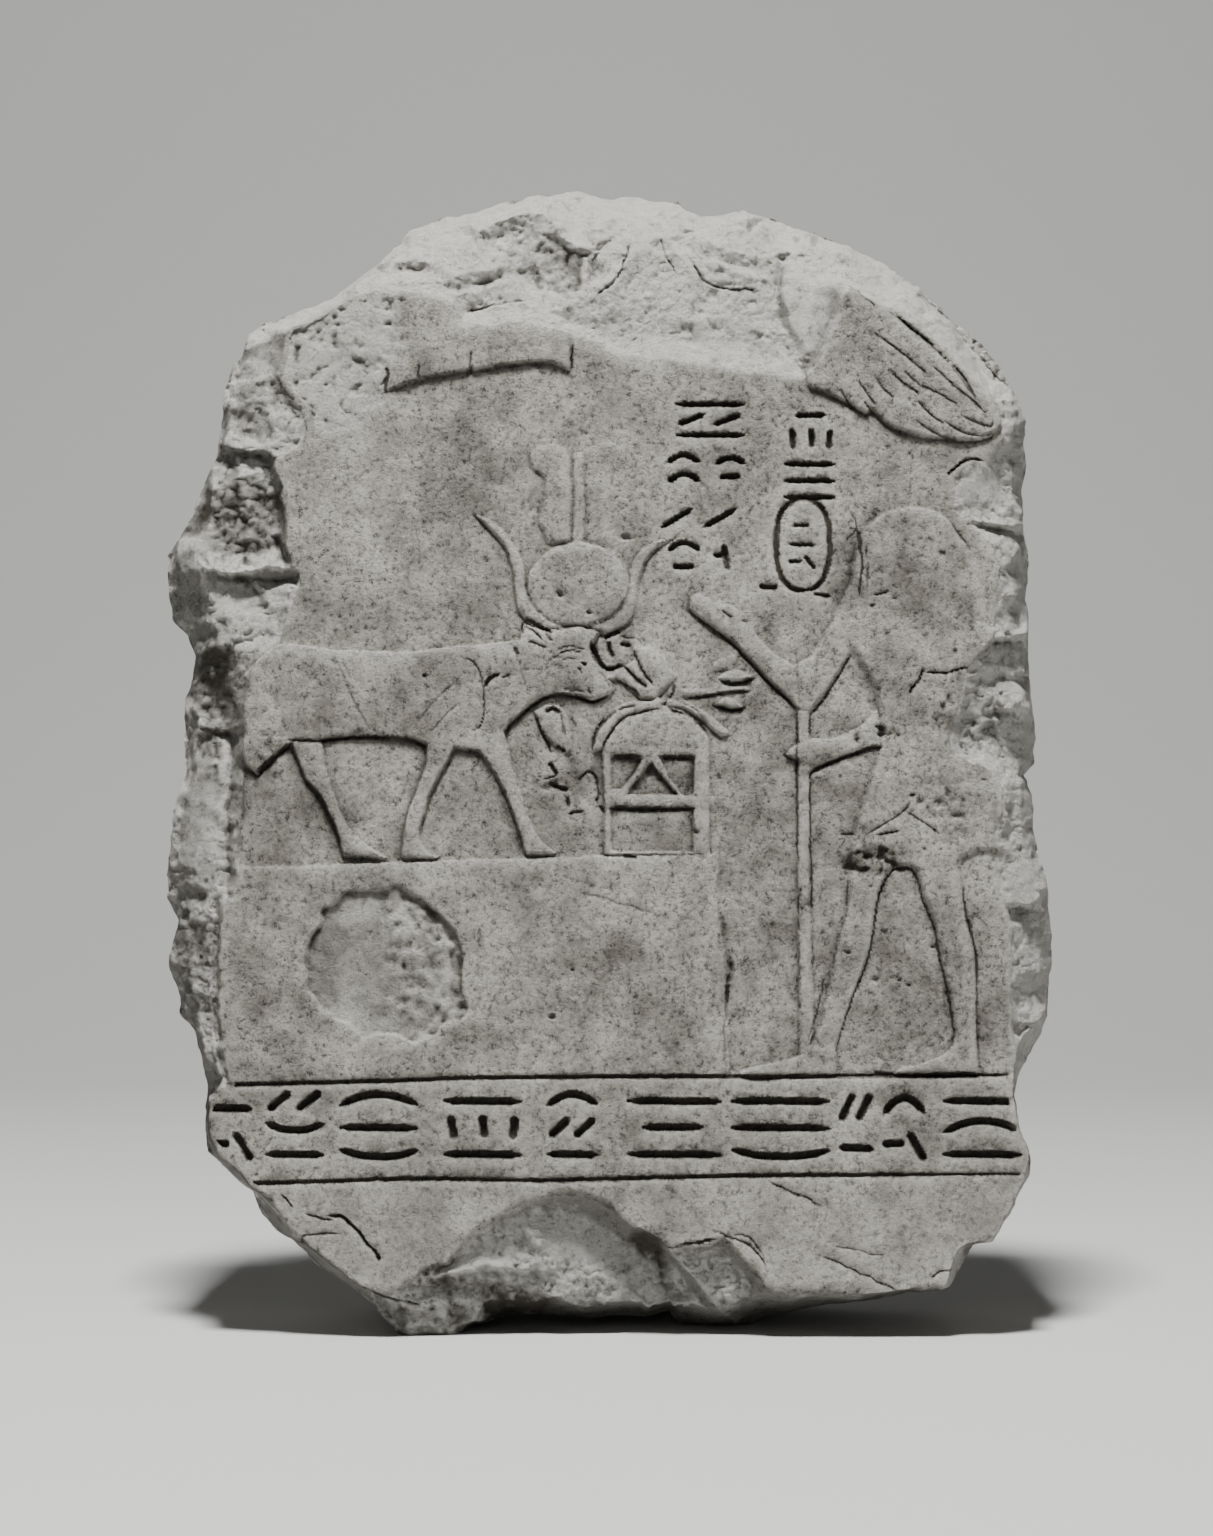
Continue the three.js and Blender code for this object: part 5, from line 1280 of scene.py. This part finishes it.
def node(kind, settings=None, **links):
    """A node with its settings and links. A link's name is its socket, spaces as _, and a
    ramp's stops are places with a colour or a grey."""
    made = tree.nodes.new(kind)
    for key, value in (settings or {}).items():
        if key == "stops":
            band = made.color_ramp
            while len(band.elements) < len(value):
                band.elements.new(0.5)
            for element, (position, tint) in zip(band.elements, value):
                element.position = position
                element.color = linear(tint) if isinstance(tint, str) else [tint] * 3 + [1]
        elif isinstance(key, int) or key in made.inputs:
            made.inputs[key].default_value = value
        else:
            setattr(made, key, value)
    for key, source in links.items():
        socket = int(key[1:]) if key[0] == "_" else key.replace("_", " ")
        tree.links.new(source, made.inputs[socket])
    return made


PER_MM = 1 / MM
where = node("ShaderNodeTexCoord").outputs["Object"]
stain_shade_sheen_here = node("ShaderNodeAttribute", {"attribute_name": "dirt"}).outputs["Fac"]
broken_here = node("ShaderNodeAttribute", {"attribute_name": "broken"}).outputs["Fac"]

# Broad clouds 34 mm across, stains of 9 mm and grains of 1.5 mm on the rubbed face.
clouds = node("ShaderNodeTexNoise", {"Scale": PER_MM / 34, "Detail": 6.0, "Roughness": 0.6},
              Vector=where)
stains = node("ShaderNodeTexNoise", {"Scale": PER_MM / 9, "Detail": 8.0, "Roughness": 0.7},
              Vector=where)
grains = node("ShaderNodeTexNoise", {"Scale": PER_MM / 1.5, "Detail": 5.0, "Roughness": 0.8},
              Vector=where)
crumbs = node("ShaderNodeTexNoise", {"Scale": PER_MM / 3.2, "Detail": 8.0, "Roughness": 0.78},
              Vector=where)
pores = node("ShaderNodeTexVoronoi", {"Scale": PER_MM / 2.4, "Randomness": 1.0}, Vector=where)
cloud_colour = node("ShaderNodeValToRGB",
                   {"stops": [(0.36, "#7C7870"), (0.5, "#A5A198"), (0.64, "#C2BEB4")]},
                   Fac=clouds.outputs["Fac"]).outputs["Color"]
stain_colour = node("ShaderNodeValToRGB",
                   {"stops": [(0.34, "#625E57"), (0.47, "#A6A299"), (0.6, "#D8D4CA")]},
                   Fac=stains.outputs["Fac"]).outputs["Color"]
rubbed = node("ShaderNodeMix", {"data_type": "RGBA", 0: 0.5}, _6=cloud_colour, _7=stain_colour)
grain_shade = node("ShaderNodeValToRGB",
                   {"stops": [(0.36, 0.06), (0.46, 0.72), (0.56, 1.0)]},
                   Fac=grains.outputs["Fac"]).outputs["Color"]
rubbed = node("ShaderNodeMix", {"data_type": "RGBA", "blend_type": "MULTIPLY", 0: 0.86},
              _6=rubbed.outputs[2], _7=grain_shade)
crumb_shade = node("ShaderNodeValToRGB",
                   {"stops": [(0.36, 0.14), (0.44, 0.75), (0.58, 1.0)]},
                   Fac=crumbs.outputs["Fac"]).outputs["Color"]
fresh = node("ShaderNodeMix", {"data_type": "RGBA", "blend_type": "MULTIPLY", 0: 0.75,
                               6: linear("#E6E3DB")}, _7=crumb_shade)
stone_colour = node("ShaderNodeMix", {"data_type": "RGBA"}, _0=broken_here,
                    _6=rubbed.outputs[2], _7=fresh.outputs[2])
pore_shade = node("ShaderNodeValToRGB",
                   {"stops": [(0.06, 0.0), (0.18, 1.0)]},
                   Fac=pores.outputs["Distance"]).outputs["Color"]
pored = node("ShaderNodeMix", {"data_type": "RGBA", "blend_type": "MULTIPLY", 0: 0.35},
             _6=stone_colour.outputs[2], _7=pore_shade)
# Stains and painted shade: the colour is darkened towards grey where the attribute is above 0.
stained_and_shaded = node("ShaderNodeMix", {"data_type": "RGBA", "blend_type": "MULTIPLY",
                               7: linear("#5E5A54")}, _0=stain_shade_sheen_here, _6=pored.outputs[2])
# Where the attribute is below 0 the colour is lightened: pale stone, rubbed wear and painted
# highlight on raised places.
pale_wear_and_highlight = node("ShaderNodeMath", {"operation": "MULTIPLY", 1: -0.9, "use_clamp": True},
                   _0=stain_shade_sheen_here)
worn = node("ShaderNodeMix", {"data_type": "RGBA", 7: linear("#D6D3CB")},
            _0=pale_wear_and_highlight.outputs[0], _6=stained_and_shaded.outputs[2])

# The stone's own tooth is too fine to show, so it is drawn at 0.8 mm. Its pores lie 2.4 mm
# apart and the crumbs of a break are 3 mm.
tooth = node("ShaderNodeTexNoise", {"Scale": PER_MM / 0.8, "Detail": 3.0, "Roughness": 0.6},
             Vector=where)
fine_bump = node("ShaderNodeBump", {"Strength": 1.0, "Distance": 0.8 * MM},
                 Height=tooth.outputs["Fac"])
grain_bump = node("ShaderNodeBump", {"Strength": 1.0, "Distance": 1.6 * MM},
                  Height=grains.outputs["Fac"], Normal=fine_bump.outputs["Normal"])
pore_bump = node("ShaderNodeBump", {"Strength": 0.5, "Distance": 0.4 * MM},
                 Height=pore_shade, Normal=grain_bump.outputs["Normal"])
break_bump = node("ShaderNodeBump", {"Distance": 2.6 * MM}, Height=crumbs.outputs["Fac"],
                  Strength=broken_here, Normal=pore_bump.outputs["Normal"])
surface = node("ShaderNodeBsdfPrincipled", {"Roughness": 0.92, "Specular IOR Level": 0.25},
               Base_Color=worn.outputs[2], Normal=break_bump.outputs["Normal"])
node("ShaderNodeOutputMaterial", Surface=surface.outputs["BSDF"])
mesh.materials.clear()
mesh.materials.append(limestone)
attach(stone, "root")
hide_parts("stele")

# ---- Floor, light and camera ----
# A pale matt floor that sweeps up behind, one soft lamp high in front of the stone so that
# the low relief shows, and a weak one from the front.
sweep = [(-2.5, 0), (0.7, 0)] + [(0.7 + 0.7 * math.sin(t), 0.7 - 0.7 * math.cos(t))
                                 for t in np.linspace(0.1, math.pi / 2, 14)] + [(1.4, 3.0)]
floor_mesh = bpy.data.meshes.new("floor")
floor_mesh.from_pydata([(x, y, z + low.z) for y, z in sweep for x in (-3, 3)], [],
                       [(2 * i, 2 * i + 1, 2 * i + 3, 2 * i + 2) for i in range(len(sweep) - 1)])
floor_mesh.shade_smooth()
floor = bpy.data.objects.new("floor", floor_mesh)
bpy.context.scene.collection.objects.link(floor)
paint = bpy.data.materials.new("matt pale paint")
paint.use_nodes = True
paint.node_tree.nodes["Principled BSDF"].inputs["Base Color"].default_value = linear("#BEBEBC")
paint.node_tree.nodes["Principled BSDF"].inputs["Roughness"].default_value = 0.95
floor_mesh.materials.append(paint)

# The camera stands where the lines on the front were marked out from.
LENS = 84.375
camera = bpy.data.objects.new("camera", bpy.data.cameras.new("camera"))
camera.data.lens = LENS
camera.location = (EYE_X * MM, low.y - SIGHTING / 1000, EYE_Z * MM)
camera.rotation_euler = (math.pi / 2, 0, 0)
bpy.context.scene.collection.objects.link(camera)
bpy.context.scene.camera = camera


def lamp(name, position, aim, size, power):
    """A square soft lamp aimed at a point."""
    light = bpy.data.lights.new(name, "AREA")
    light.size = size
    light.energy = power
    made = bpy.data.objects.new(name, light)
    made.location = position
    made.rotation_euler = (Vector(aim) - Vector(position)).to_track_quat("-Z", "Y").to_euler()
    bpy.context.scene.collection.objects.link(made)


lamp("high lamp", (-0.05, -0.47, 1.36), (0, 0, 0.14), 0.2, 46)
lamp("front lamp", (-0.5, -1.6, 0.5), (0, 0, 0.14), 0.8, 0.8)
world = bpy.data.worlds.new("studio")
world.use_nodes = True
world.node_tree.nodes["Background"].inputs["Color"].default_value = linear("#FFFFFF")
world.node_tree.nodes["Background"].inputs["Strength"].default_value = 0.035
bpy.context.scene.world = world
